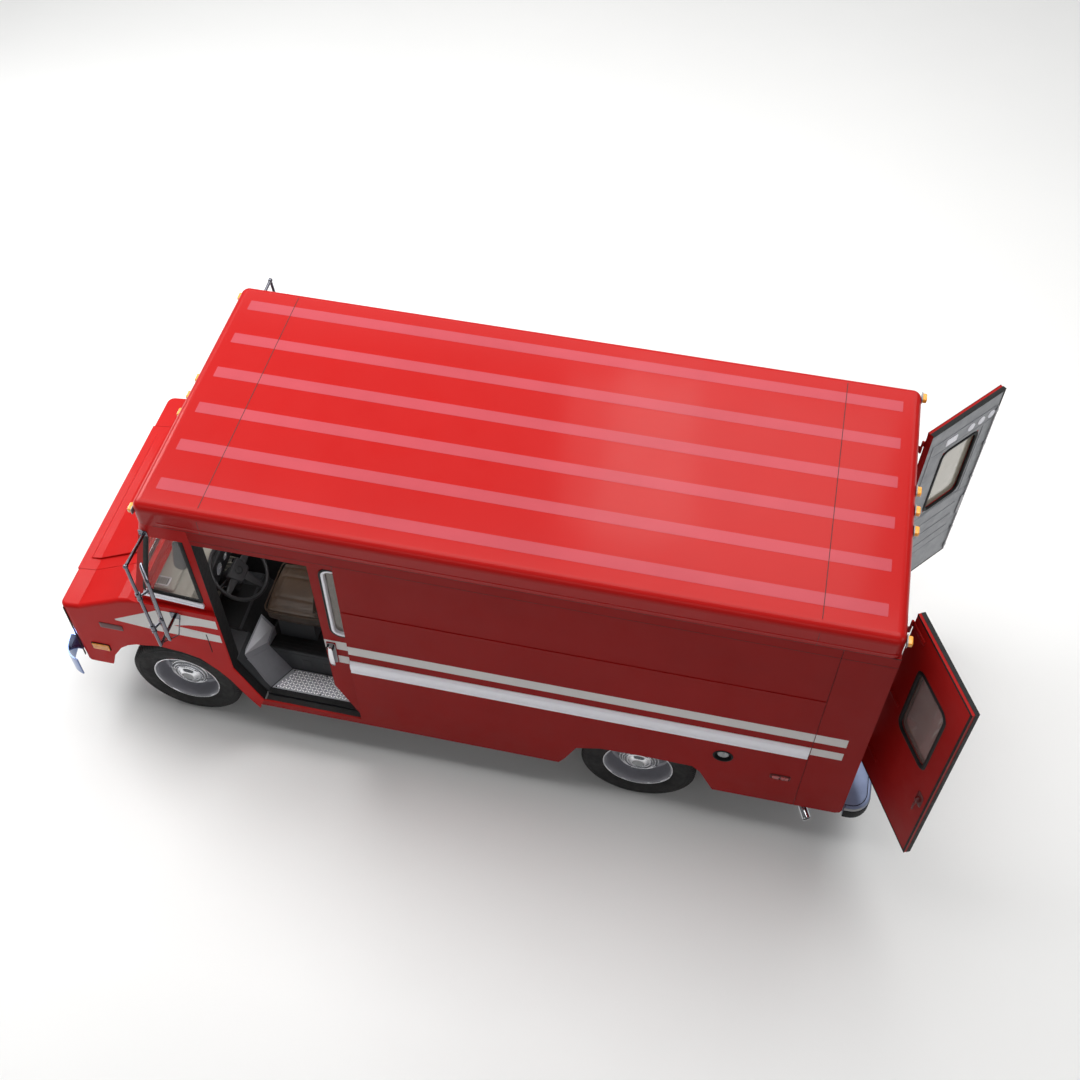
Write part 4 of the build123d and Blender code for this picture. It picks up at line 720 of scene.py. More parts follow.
def hub_mesh():
    bm = bmesh.new()
    lathe(bm, (0, 0, 0), Y, mm((84.5, 239), (90, 242.5), (90, 250.5), (86.2, 252.2), (85, 250), (87, 248),
                               (87, 244), (84, 241)), 96, closed=True)
    for out, radius, thick in ((0.03, 0.1385, 0.005), (0.04, 0.119, 0.005), (0.05, 0.1045, 0.0032)):
        lathe(bm, (0, 0, 0), Y, [(out + thick * sin(t), radius + thick * cos(t))
                                 for t in [2 * pi * k / 10 for k in range(10)]], 72, closed=True)
    cap = mm((14, 96.5), (40, 95.5), (50, 91), (54.5, 85), (55.5, 79), (54.5, 75.5), (57, 72), (66, 62),
             (71.5, 53), (73.5, 48), (73.5, 44.5), (70, 43), (69.5, 42.5), (66, 42))
    lathe(bm, (0, 0, 0), Y, cap, 72)
    for turn in range(4):
        radial, around = spoke(radians(90 * turn - 70))
        spot = Plane((0, 0, 0), radial, around, Y)
        brick(bm, spot, (0.094, 0.142), (-0.0035, 0.0035), (0.034, 0.044), 0.002)
    return bm


def hub_dark_mesh():
    bm = bmesh.new()
    lathe(bm, (0, 0, 0), Y, mm((20.5, 98), (23.5, 99), (19.5, 146.5), (16.5, 147)), 72, closed=True)
    lathe(bm, (0, 0, 0), Y, mm((65.5, 41.8), (69, 41.6), (70, 40), (70.4, 0)), 48)
    return bm


def drum_mesh():
    bm = bmesh.new()
    lathe(bm, (0, 0, 0), Y, mm((-130, 158), (-130, 166), (-55, 166), (-53, 120), (-52, 60), (-94, 58),
                               (-94, 26), (-50, 26), (-26, 60), (-36, 112), (-46, 118), (-48, 158),
                               (-60, 160)), 64, closed=True)
    for turn in range(12):
        radial, around = spoke(radians(30 * turn))
        spot = Plane((0, 0, 0), radial, around, Y)
        brick(bm, spot, (0.117, 0.132), (-0.01, 0.01), (-0.044, -0.0345), 0.002)
    return bm


def make_wheels():
    corners = {"front_left": 1, "front_right": -1, "rear_left": 1, "rear_right": -1}
    builders = (("tyre", tyre_mesh, "tyre", "tyre_rubber"),
                ("rim", rim_mesh, "wheel", "wheel_silver"),
                ("hub_trim", hub_mesh, "chrome", "bright_chrome"),
                ("hub_dark", hub_dark_mesh, "cap", "cover_grey"),
                ("brake_drum", drum_mesh, "cast", "cast_grey"))
    shared = {kind: (finished_mesh(kind, build(), look, 38), slot) for kind, build, look, slot in builders}
    for corner, side in corners.items():
        low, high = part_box(corner + "_tyre")
        centre = (low + high) / 2
        body = corner + "_wheel"
        for kind, (mesh, slot) in shared.items():
            obj = shown_object(f"{corner}_{kind}_detail", mesh)
            turn = Matrix.Rotation(0 if side > 0 else pi, 4, "Z")
            obj.matrix_world = Matrix.Translation(centre) @ turn
            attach(obj, body)
            if kind == "tyre":
                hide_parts(corner + "_tyre")
            if kind == "rim":
                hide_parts(corner + "_wheel")
        bm = bmesh.new()
        spot = Plane(centre + Y * side * 0.0905, X, Z, Y * side)
        turn = radians(200 if side > 0 else 20)
        place = spot.at(0.2465 * cos(turn), 0.2465 * sin(turn))
        radial, around = spoke(turn)
        brick(bm, Plane(place, around, radial, Y * side), (-0.017, 0.017), (-0.006, 0.005), (-0.002, 0.003),
              0.002)
        stem = spot.at(0.205 * cos(2.2), 0.205 * sin(2.2), -0.08)
        lathe(bm, stem, Y * side, mm((-20, 4), (10, 4), (10, 5), (22, 4.5), (22, 0)), 12)
        piece(f"{corner}_balance_weight", bm, "chrome", body)


# ------------------------------------------------------------------ body skin details

def make_roof_details():
    top = level_plane(ROOF_Z)
    bm = bmesh.new()
    for i in range(6):
        y = (i - 2.5) * 0.328
        plate(bm, top, rounded(4.454, 0.092, 0.004, (-0.237, y), 2), (-0.001, 0.0007))
    piece("roof_bands", bm, "roof_band")
    bm = bmesh.new()
    for x in (1.68, -2.099):
        brick(bm, top, (x - 0.0022, x + 0.0022), (-0.958, 0.958), (-0.003, 0.0009))
    for side in (1, -1):
        flank = side_plane(side, FLANK_Y)
        for z in (2.39, 2.3):
            brick(bm, flank, (REAR_X, 1.99 if z > 2.35 else 1.765), (z - 0.0013, z + 0.0013),
                  (-0.004, 0.0006))
        for x in (1.68, -2.099):
            brick(bm, flank, (x - 0.0013, x + 0.0013), (2.392, 2.512), (-0.004, 0.0006))
        brick(bm, flank, (-2.2612, -2.2588), (0.44, 2.388), (-0.005, -0.0024))
        brick(bm, flank, (0.8485, 0.8515), (2.262, 2.3), (-0.004, 0.0006))
    piece("roof_seam_sealant", bm, "seam")
    bm = bmesh.new()
    for side in (1, -1):
        flank = side_plane(side, FLANK_Y)
        path = [(-2.56, 2.418), (1.96, 2.418), (1.96, 2.43), (-2.56, 2.43)]
        plate(bm, flank, path, (-0.002, 0.004), 0.003, 2)
    piece("roof_drip_rails", bm, "roof")


def make_stripes():
    for side, name in SIDES:
        flank = side_plane(side, FLANK_Y)
        bm = bmesh.new()
        for start, stop in ((-2.2575, 0.849), (-2.467, -2.2625)):
            for low, high in (UPPER_STRIPE, LOWER_STRIPE):
                brick(bm, flank, (start, stop), (low, high), (-0.001, 0.0006))
        wedge = [(1.775, 1.408), (2.06, 1.414), (2.141, 1.421), (2.2, 1.41), (2.552, 1.2), (2.548, 1.186),
                 (2.229, 1.151), (1.775, 1.149), (1.775, 1.236), (1.985, 1.25), (2.105, 1.262), (1.985, 1.3),
                 (1.9, 1.313), (1.775, 1.313)]
        plate(bm, flank, wedge, (-0.001, 0.0006))
        brick(bm, flank, (1.904, 1.992), (1.152, 1.236), (0.0, 0.003), 0.0015)
        piece(f"{name}_stripe_tape", bm, "stripe")
        door = f"{name}_door"
        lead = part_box(door)[1].x
        rear = lead - 0.958
        edge = {1.408: lead - 0.0105, 1.313: lead - 0.0118, 1.236: lead - 0.088, 1.149: lead - 0.088}
        leaf = side_plane(side, 0.996)
        bm = bmesh.new()
        for low, high in (UPPER_STRIPE, LOWER_STRIPE):
            plate(bm, leaf, [(rear, low), (edge[low], low), (edge[high], high), (rear, high)],
                  (-0.001, 0.0006))
        piece(f"{name}_door_stripe_tape", bm, "stripe", door)
        bm = bmesh.new()
        plate(bm, flank, rounded(0.174, 0.063, 0.008, (2.606, 1.0905), 4), (-0.001, 0.004), 0.002, 2)
        plate(bm, flank, rounded(0.15, 0.04, 0.005, (2.606, 1.0905), 4), (0.003, 0.0052), 0.001, 1)
        piece(f"{name}_fender_plate", bm, "badge")
        bm = bmesh.new()
        tube(bm, [flank.at(1.876, 1.222, 0.001), flank.at(1.874, 1.12, 0.0016),
                  flank.at(1.875, 1.003, 0.001)], 0.0032, 8)
        piece(f"{name}_fender_slot_trim", bm, "rubber")


def make_rub_rails():
    section = [(1.1115, 1.02), (1.1115, 1.037), (1.115, 1.042), (1.123, 1.044), (1.133, 1.0435),
               (1.14, 1.04), (1.1445, 1.0385), (1.149, 1.0405), (1.155, 1.044), (1.167, 1.046),
               (1.186, 1.0465), (1.205, 1.0455), (1.217, 1.043), (1.225, 1.038), (1.227, 1.033),
               (1.227, 1.02)]
    bm = bmesh.new()
    for side in (1, -1):
        loops = []
        for x, shrink in ((-2.253, 0.6), (-2.251, 0.0), (0.845, 0.0), (0.847, 0.6)):
            loops.append([bm.verts.new((x, side * (y - (y - 1.02) * shrink), z)) for z, y in section])
        skin(bm, loops)
    piece("rub_rail_covers", bm, "aluminium", replaces=["rub_rails"], smooth=60)


def make_filler_trim():
    flank = side_plane(1, FLANK_Y)
    bm = bmesh.new()
    disc(bm, flank, *FILLER, mm((-30, 56), (0.5, 56), (4.5, 58.5), (5.5, 63), (3.5, 68.5), (0, 70), (-2, 64),
                                (-30, 60)), 48)
    piece("filler_recess_ring", bm, "rubber")
    cap = side_plane(1, 1.012)
    bm = bmesh.new()
    for turn in range(24):
        angle = 2 * pi * turn / 24
        spot = cap.at(FILLER[0] + 0.0385 * cos(angle), FILLER[1] + 0.0385 * sin(angle))
        lathe(bm, spot, Y, mm((-34, 2.2), (-5, 2.2), (-3, 1.2), (-3, 0)), 6)
    disc(bm, cap, *FILLER, mm((-32, 39.2), (-6, 39.2), (-1, 36), (0, 31), (-1, 27), (-2, 26.2), (-1.5, 0)),
         48)
    brick(bm, cap, (-1.725, -1.713), (0.89, 0.944), (-0.003, 0.0035), 0.003)
    piece("fuel_cap_grip", bm, "cap", "fuel_cap")


# ------------------------------------------------------------------ windows and seals

def make_window_seals():
    for side, name in SIDES:
        door = f"{name}_door"
        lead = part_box(door)[1].x
        leaf = side_plane(side, 1.001)
        centre = (lead - 0.375, 1.855)
        path = rounded(0.56, 0.7, 0.055, centre)
        bm = bmesh.new()
        ring(bm, leaf, path, mm((10, -6), (10, 2.2), (14, 4.2), (22, 4.2), (26, 1), (26, -6)))
        piece(f"{name}_door_window_rubber", bm, "rubber", door)
        bm = bmesh.new()
        ring(bm, leaf, path, mm((-10, -24), (-10, -4), (-6, 2.5), (2, 4.2), (9, 3.6), (11, -2), (0, -6),
                                (0, -24)))
        piece(f"{name}_door_window_bright_frame", bm, "aluminium", door)
        inner = side_plane(side, 0.958)
        bm = bmesh.new()
        ring(bm, inner.turned_over(), path, mm((-8, -12), (-8, 2), (4, 4.5), (18, 3.5), (22, 0), (22, -1)))
        piece(f"{name}_door_window_inner_rubber", bm, "rubber", door)
        quarter = side_plane(side, 0.985)
        corners = [(1.852, 1.558), (2.245, 1.59), (2.081, 2.262), (1.867, 2.24)]
        path = rounded_polygon(corners, 0.035)
        bm = bmesh.new()
        ring(bm, quarter, path, mm((-14, -12), (-14, 1), (-10, 5), (6, 7), (16, 4), (18, -1), (2, -12)))
        piece(f"{name}_quarter_window_rubber", bm, "rubber")
        bm = bmesh.new()
        plate(bm, quarter, [(1.838, 1.528), (2.262, 1.562), (2.256, 1.588), (1.84, 1.554)], (0.0, 0.015),
              0.004, 3)
        plate(bm, quarter, [(1.838, 1.52), (2.266, 1.555), (2.264, 1.562), (1.838, 1.528)], (0.0, 0.024),
              0.003, 2)
        piece(f"{name}_quarter_window_sill", bm, "aluminium")
    shield, slope = shield_plane()
    bm = bmesh.new()
    for side in (1, -1):
        path = rounded(0.86, 0.7 * slope, 0.05, (side * 0.465, 0.54 * slope))
        ring(bm, shield, path, mm((-12, -18), (-12, -1), (-6, 5.5), (10, 6.5), (18, 3), (20, -2), (1, -18)))
    piece("windshield_rubber", bm, "rubber")
    bm = bmesh.new()
    for side in (1, -1):
        path = rounded(0.86, 0.7 * slope, 0.05, (side * 0.465, 0.54 * slope))
        ring(bm, shield, path, mm((0.5, 5), (0.5, 8.5), (6.5, 8.5), (6.5, 5)))
    piece("windshield_bright_strip", bm, "chrome")


def make_doorway_seals():
    """Black rubber round the two side doorways and on the sills, and a black sheet over each door track as
    painted shade of its recess.
    """
    for side, name in SIDES:
        edge = [(1.7745, 2.258), (1.7562, 0.829), (1.5895, 0.456)]
        inner = [(1.7705, 2.258), (1.7525, 0.83), (1.5855, 0.4565)]
        outline = edge + inner[::-1]
        bm = bmesh.new()
        plate(bm, side_plane(side, 0.905), outline, (0.0, 0.108))
        lip = [(1.7745, 2.258), (1.7562, 0.829), (1.5895, 0.456), (1.618, 0.456), (1.786, 0.823),
               (1.802, 2.258)]
        plate(bm, side_plane(side, 0.9), lip, (0.0, 0.02))
        piece(f"{name}_doorway_post_seal", bm, "rubber")
        bm = bmesh.new()
        plate(bm, side_plane(side, 0.9065), [(0.864, 0.4605), (1.572, 0.4605), (1.574, 0.4635),
                                             (0.864, 0.4635)], (0.0, 0.046))
        # A thin black sheet over the door track, as painted shade of the recess.
        plate(bm, side_plane(side, 0.9545), [(0.864, 0.4415), (1.572, 0.4415), (1.572, 0.4428),
                                             (0.864, 0.4428)], (0.0, 0.052))
        for k in range(3):
            y = 0.915 + 0.012 * k
            plate(bm, side_plane(side, y), [(0.868, 0.463), (1.568, 0.463), (1.568, 0.4655),
                                            (0.868, 0.4655)], (0.0, 0.005))
        piece(f"{name}_doorway_sill_rubber_and_track_shade", bm, "rubber")
        bm = bmesh.new()
        door = f"{name}_door"
        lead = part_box(door)[1].x
        rubber = [(lead, 2.262), (lead - 0.018, 0.83), (lead - 0.187, 0.447)]
        face = [(lead - 0.022, 2.262), (lead - 0.04, 0.838), (lead - 0.206, 0.455)]
        plate(bm, side_plane(side, 0.9565), rubber + face[::-1], (0.0, 0.002))
        piece(f"{name}_door_edge_rubber", bm, "rubber", door)


# ------------------------------------------------------------------ side door handles and panels

def make_side_door_details():
    for side, name in SIDES:
        door, body = f"{name}_door", f"{name}_door_handle"
        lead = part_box(door)[1].x
        leaf = side_plane(side, 1.003)
        x = lead - 0.058
        bm = bmesh.new()
        plate(bm, leaf, rounded(0.058, 0.228, 0.018, (x, 1.268), 6), (-0.002, 0.0022), 0.0015, 2)
        piece(f"{name}_handle_escutcheon", bm, "satin_steel", door)
        bm = bmesh.new()
        for low, high in ((-0.024, -0.0158), (0.0158, 0.024)):
            path = rounded(high - low, 0.026, 0.003, (x + (low + high) / 2, 1.361), 3)
            plate(bm, leaf, path, (-0.002, 0.0368), 0.003, 2)
        for s in (1, -1):
            lathe(bm, (x + s * 0.0235, side * 1.032, 1.361), X * s, mm((-4, 6), (1, 6), (2.5, 4), (2.5, 0)),
                  16)
        piece(f"{name}_handle_mount", bm, "plastic", door)
        bm = bmesh.new()
        loops = []
        for k in range(21):
            t = k / 20
            z = 1.367 - 0.228 * t
            width = 0.0135 + 0.0045 * t + 0.003 * sin(pi * t) - 0.006 * max(0.0, t - 0.9) / 0.1
            away = 0.029 + 0.006 * sin(pi * t) - 0.01 * max(0.0, t - 0.8) / 0.2
            loops.append([bm.verts.new(leaf.at(x + width * cos(angle), z, away + 0.0052 * sin(angle)))
                          for angle in [2 * pi * q / 16 for q in range(16)]])
        skin(bm, loops)
        disc(bm, leaf, x, 1.156, mm((3, 10), (16, 9.5), (22, 8), (22, 0)), 20)
        piece(f"{name}_handle_lever", bm, "chrome", body, replaces=[body])
        bm = bmesh.new()
        disc(bm, leaf, x, 1.205, mm((2, 8.5), (4.5, 8), (4.8, 4), (3.8, 0)), 20)
        screw_heads(bm, leaf, [(x - 0.017, 1.172), (x + 0.017, 1.172), (x - 0.017, 1.35), (x + 0.017, 1.35)],
                    0.0035, 0.004)
        piece(f"{name}_handle_screws", bm, "chrome", door)
        inner = side_plane(side, 0.958).turned_over()
        bm = bmesh.new()
        front, rear = lead - 0.075, lead - 0.9
        plate(bm, inner, rounded(front - rear, 0.7, 0.03, ((front + rear) / 2, 1.06), 4), (-0.001, 0.003),
              0.002, 1)
        for z in (0.8, 0.98, 1.16, 1.34):
            plate(bm, inner, rounded(front - rear - 0.1, 0.03, 0.014, ((front + rear) / 2, z), 4),
                  (0.002, 0.0045), 0.002, 1)
        screw_heads(bm, inner, [(rear + 0.02 + k * (front - rear - 0.04) / 8, z) for k in range(9)
                                for z in (0.73, 1.39)], 0.004, 0.0045)
        piece(f"{name}_door_inner_panel", bm, "door_metal", door)


# ------------------------------------------------------------------ rear doors

def rear_door_frame(side):
    opened = 153 if side > 0 else 140
    angle = radians(-90 - opened) if side > 0 else radians(90 + opened)
    along = Vector((cos(angle), sin(angle), 0))
    out = along.cross(Z) * side
    return Plane((-2.64, side * 0.723, 0), along, Z, out)


def make_rear_doors():
    low_u, high_u, low_z, high_z = 0.01, 0.72, 0.718, 2.468
    window = rounded(0.35, 0.62, 0.06, (0.385, 1.855))
    for side, name in SIDES:
        body = f"rear_{name}_door"
        leaf = rear_door_frame(side)
        bm = bmesh.new()
        frame_out = [(low_u, high_z + 0.0022), (high_u + 0.0022, high_z + 0.0022),
                     (high_u + 0.0022, low_z - 0.002), (low_u, low_z - 0.002), (low_u, low_z),
                     (high_u, low_z), (high_u, high_z), (low_u, high_z)]
        plate(bm, leaf, frame_out, (-0.0525, -0.026))
        for c in ((-0.008, -0.0066), (-0.0535, -0.052)):
            for a, b in (((low_u, high_u + 0.002), (high_z - 0.016, high_z + 0.002)),
                         ((high_u - 0.016, high_u + 0.002), (low_z, high_z)),
                         ((low_u, high_u + 0.002), (low_z - 0.002, low_z + 0.012))):
                brick(bm, leaf, a, b, c)
        piece(f"rear_{name}_door_edge_seal", bm, "rubber", body)
        bm = bmesh.new()
        shape = mm((-12, -10), (-12, 2), (-8, 6), (2, 7.5), (12, 5), (17, 0), (17, -2), (1, -10))
        ring(bm, leaf.raised(-0.007), window, shape)
        ring(bm, leaf.turned_over(-0.052), window, shape)
        piece(f"rear_{name}_window_rubber", bm, "rubber", body)
        inside = leaf.turned_over(-0.052)
        bm = bmesh.new()
        for a, b in (((0.012, 0.706), (0.728, 1.54)), ((0.012, 0.706), (2.17, 2.455)),
                     ((0.012, 0.205), (1.54, 2.17)), ((0.565, 0.706), (1.54, 2.17))):
            brick(bm, inside, a, b, (-0.001, 0.0006))
        for z0, z1 in ((0.775, 1.008), (1.012, 1.498), (2.222, 2.335)):
            plate(bm, inside, rounded(0.63, z1 - z0, 0.006, (0.365, (z0 + z1) / 2), 3), (-0.001, 0.004),
                  0.0015, 1)
        for a, b in (((0.05, 0.175), (1.502, 2.218)), ((0.595, 0.68), (1.502, 2.218)),
                     ((0.176, 0.594), (1.502, 1.512)), ((0.176, 0.594), (2.198, 2.218))):
            brick(bm, inside, a, b, (-0.001, 0.004), 0.0012)
        screw_columns = [0.065 + 0.0865 * k for k in range(8)]
        spots = [(u, z) for z in (0.785, 0.998, 1.022, 1.488, 2.325) for u in screw_columns]
        spots += [(u, z) for u in (0.062, 0.668) for z in [1.56 + 0.105 * k for k in range(7)]]
        screw_heads(bm, inside, spots, 0.0035, 0.0058)
        for k in range(3):
            z = 1.1 + 0.13 * k
            plate(bm, inside, rounded(0.5, 0.026, 0.012, (0.365, z), 4), (0.003, 0.007), 0.002, 1)
        piece(f"rear_{name}_door_inner_panels", bm, "door_metal", body)
        bm = bmesh.new()
        for u in (0.645, 0.545, 0.445):
            disc(bm, inside, u, 2.275, mm((3, 33), (6.5, 33), (7.5, 30), (7.5, 27.5), (5.5, 26.5), (5.5, 16),
                                          (8.5, 14), (8.5, 6), (6, 0)), 32)
        plate(bm, inside, rounded(0.11, 0.06, 0.01, (0.25, 2.275), 4), (0.003, 0.0072), 0.0015, 1)
        screw_heads(bm, inside, [(0.205, 2.275), (0.295, 2.275)], 0.0045, 0.0095)
        piece(f"rear_{name}_door_fittings", bm, "aluminium", body)
        bm = bmesh.new()
        brick(bm, inside, (0.662, 0.702), (1.2, 1.4), (0.003, 0.013), 0.003)
        for z0, z1 in ((1.4, 2.33), (0.76, 1.2)):
            tube(bm, [inside.at(0.69, z0, 0.0095), inside.at(0.69, z1, 0.0095)], 0.0055, 10)
        for z in (0.8, 1.02, 1.6, 1.95, 2.28):
            brick(bm, inside, (0.678, 0.702), (z - 0.012, z + 0.012), (0.003, 0.0155), 0.002)
        piece(f"rear_{name}_door_latch_rods", bm, "satin_steel", body)
        bm = bmesh.new()
        for z in (0.96, 1.66, 2.36):
            plate(bm, leaf.raised(-0.004), rounded(0.15, 0.04, 0.016, (0.084, z), 5), (-0.001, 0.0022),
                  0.0015, 2)
            screw_heads(bm, leaf.raised(-0.0018), [(0.04, z), (0.085, z), (0.13, z)], 0.0055, 0.0025)
        piece(f"rear_{name}_hinge_straps", bm, "red", body)
    face = rear_door_frame(1).raised(-0.008)
    bm = bmesh.new()
    plate(bm, face, rounded(0.07, 0.13, 0.02, (0.64, 1.325), 6), (-0.001, 0.0023), 0.0015, 2)
    piece("rear_latch_base", bm, "badge", "rear_left_door")
    bm = bmesh.new()
    disc(bm, face, 0.64, 1.32, mm((2.5, 23), (18, 21.5), (25.5, 18), (27.5, 10), (27.5, 0)), 32)
    tube(bm, smooth_path([face.at(0.64, 1.32, 0.016), face.at(0.64, 1.29, 0.024),
                          face.at(0.64, 1.25, 0.0265), face.at(0.64, 1.214, 0.024)]), 0.01, 14, flat=0.7)
    piece("rear_latch_lever", bm, "badge", "rear_door_handle",
          replaces=["rear_door_handle"])


# ------------------------------------------------------------------ cab inside

def lozenges(bm, plane, low, high, keep, pitch=0.0215, length=0.027, width=0.0085, height=0.0016):
    rows = int((high[0] - low[0]) / pitch)
    columns = int((high[1] - low[1]) / pitch)
    for i in range(rows):
        for j in range(columns):
            a = low[0] + pitch * (i + 0.7)
            b = low[1] + pitch * (j + 0.7)
            if not keep(a + 0.012, b):
                continue
            turn = pi / 4 if (i + j) % 2 else -pi / 4
            along, across = (cos(turn), sin(turn)), (-sin(turn), cos(turn))
            base, top = [], []
            for s, t in ((1, 0), (0.35, 1), (-0.35, 1), (-1, 0), (-0.35, -1), (0.35, -1)):
                da = along[0] * s * length / 2 + across[0] * t * width / 2
                db = along[1] * s * length / 2 + across[1] * t * width / 2
                base.append(bm.verts.new(plane.at(a + da, b + db)))
                top.append(bm.verts.new(plane.at(a + da * 0.7, b + db * 0.6, height)))
            for k in range(6):
                q = (k + 1) % 6
                bm.faces.new((base[k], base[q], top[q], top[k]))
            bm.faces.new(top)


def slanted_plate(bm, corners, share, lift, depth):
    """A thin plate through four corners, drawn in to a share of its size and lifted off the surface."""
    middle = sum(corners, Vector()) / len(corners)
    normal = (corners[2] - corners[0]).cross(corners[3] - corners[1]).normalized()
    if normal.z < 0:
        normal = -normal
    face = [middle + (corner - middle) * share + normal * lift for corner in corners]
    skin(bm, [[bm.verts.new(point - normal * drop) for point in face] for drop in (0.0, depth)])


def make_step_plates():
    for side, name in SIDES:
        tread = Plane((0, 0, STEP_Z), X, Y * side, Z)
        bm = bmesh.new()
        plate(bm, tread, [(0.865, 0.722), (1.464, 0.722), (1.562, 0.905), (0.865, 0.905)], (0.0003, 0.0028),
              0.001, 1)
        piece(f"{name}_step_tread_plate", bm, "tread_plate")
        bm = bmesh.new()
        # The lozenges take the near-white aluminium, a painted highlight.
        lozenges(bm, tread.raised(0.0027), (0.866, 0.722), (1.562, 0.905),
                 keep=lambda a, b: a + (0.905 - b) * 0.535 < 1.55)
        piece(f"{name}_step_lozenges", bm, "tread_raised")
        bm = bmesh.new()
        screw_heads(bm, tread.raised(0.0027), [(1.445, 0.735), (1.535, 0.893), (1.2, 0.735), (1.2, 0.893),
                                               (0.885, 0.735), (0.885, 0.893)], 0.007, 0.0022)
        piece(f"{name}_step_screws", bm, "plastic")
        corners = {"low_outer": (1.572, 0.905, 0.463), "low_inner": (1.47, 0.722, 0.463),
                   "top_inner": (1.617, 0.718, 0.738), "top_outer": (1.74, 0.905, 0.797),
                   "arch_near": (1.6, 0.6, 0.805), "arch_far": (1.7, 0.56, 0.87),
                   "foot_near": (1.6, 0.6, 0.702), "foot_inner": (1.617, 0.718, 0.702)}
        spots = {key: Vector((x, side * y, z)) for key, (x, y, z) in corners.items()}
        toe = [spots[key] for key in ("low_outer", "low_inner", "top_inner", "top_outer")]
        arch = [spots[key] for key in ("top_outer", "top_inner", "arch_near", "arch_far")]
        skirt = [spots[key] for key in ("top_inner", "arch_near", "foot_near", "foot_inner")]
        bm = bmesh.new()
        for face in (toe, arch, skirt):
            slanted_plate(bm, face, 1.0, 0.0, 0.004)
        piece(f"{name}_step_front_back_plates", bm, "kick_plate")
        bm = bmesh.new()
        slanted_plate(bm, toe, 0.8, 0.0035, 0.004)
        screw_spot = spots["top_outer"] * 0.94 + spots["low_inner"] * 0.06
        screw_heads(bm, Plane(screw_spot, X, Y * side, Z), [(0, 0)], 0.004)
        piece(f"{name}_step_front_plates", bm, "kick_plate")
        bm = bmesh.new()
        slanted_plate(bm, arch, 0.84, 0.0035, 0.004)
        piece(f"{name}_arch_ledge_plate", bm, "ledge_plate")
        riser = side_plane(side, 0.718)
        bm = bmesh.new()
        plate(bm, riser, [(0.872, 0.48), (1.548, 0.48), (1.56, 0.5), (1.56, 0.672), (0.872, 0.672)],
              (0.0003, 0.0025), 0.001, 1)
        for x in (1.02, 1.18, 1.34):
            brick(bm, riser, (x - 0.035, x + 0.035), (0.545, 0.615), (0.002, 0.0042), 0.0015)
        piece(f"{name}_step_riser_panel", bm, "inside_dark")
    floor = level_plane(FLOOR_Z)
    bm = bmesh.new()
    for side in (1, -1):
        low, high = (0.215, 0.712) if side > 0 else (-0.712, -0.335)
        plate(bm, floor, [(0.865, low), (1.622, low), (1.622, high), (0.865, high)], (0.0003, 0.004), 0.0015,
              1)
    for k in range(16):
        y = 0.235 + 0.03 * k
        if not 0.3 < y < 0.61:
            brick(bm, floor, (0.88, 1.61), (y - 0.004, y + 0.004), (0.0035, 0.0055))
    piece("cab_floor_mat", bm, "rubber")
    slope_u = Vector((1.806 - 1.634, 0, 0.87 - 0.7)).normalized()
    toe = Plane((1.634, 0, 0.7), slope_u, Y, Vector((-slope_u.z, 0, slope_u.x)))
    bm = bmesh.new()
    plate(bm, toe, [(0.01, 0.215), (0.232, 0.215), (0.232, 0.712), (0.01, 0.712)], (0.0003, 0.004), 0.0015,
          1)
    for k in range(6):
        a = 0.035 + 0.035 * k
        brick(bm, toe, (a - 0.004, a + 0.004), (0.23, 0.7), (0.0035, 0.0055))
    piece("toe_board_mat", bm, "rubber")
    bm = bmesh.new()
    for side in (1, -1):
        slab = Plane((0, 0, 0.872), X, Y * side, Z)
        plate(bm, slab, [(1.815, 0.33), (2.035, 0.33), (2.035, 0.712), (1.815, 0.712)], (0.0003, 0.0035),
              0.0015, 1)
    piece("toe_ledge_plates", bm, "cover")


def soft_block(bm, plane, size, rounding=0.32, crown=0.012, seams=(), cuts=26):
    """A stuffed block: rounded, crowned on top, with sewn seams pressed into its upper face."""
    width, length, thick = size
    bmesh.ops.create_cube(bm, size=2.0)
    bmesh.ops.subdivide_edges(bm, edges=bm.edges[:], cuts=cuts, use_grid_fill=True)
    for v in bm.verts:
        a, b, c = v.co
        ra = a * sqrt(max(0, 1 - b * b / 2 - c * c / 2 + b * b * c * c / 3))
        rb = b * sqrt(max(0, 1 - a * a / 2 - c * c / 2 + a * a * c * c / 3))
        rc = c * sqrt(max(0, 1 - a * a / 2 - b * b / 2 + a * a * b * b / 3))
        pa = a + (ra - a) * rounding * (1 if abs(a) > 0.6 else 0.5)
        pb = b + (rb - b) * rounding * (1 if abs(b) > 0.6 else 0.5)
        pc = c + (rc - c) * rounding * 0.55
        lift = 0.0
        if c > 0.5:
            lift = crown * (1 - a ** 4) * (1 - b ** 4)
            for kind, where in seams:
                d = (a - where) * width / 2 if kind == "a" else (b - where) * length / 2
                lift -= SEAM_DEPTH * 2.718 ** (-(d / SEAM_WIDTH) ** 2)
        bulge = -0.006 * (1 - c * c)
        v.co = plane.at(pa * width / 2, pb * length / 2, pc * thick / 2 + lift)
        if max(abs(a), abs(b)) > 0.99:
            away = Vector((pa, pb))
            v.co += (plane.u * away.x + plane.v * away.y) * bulge


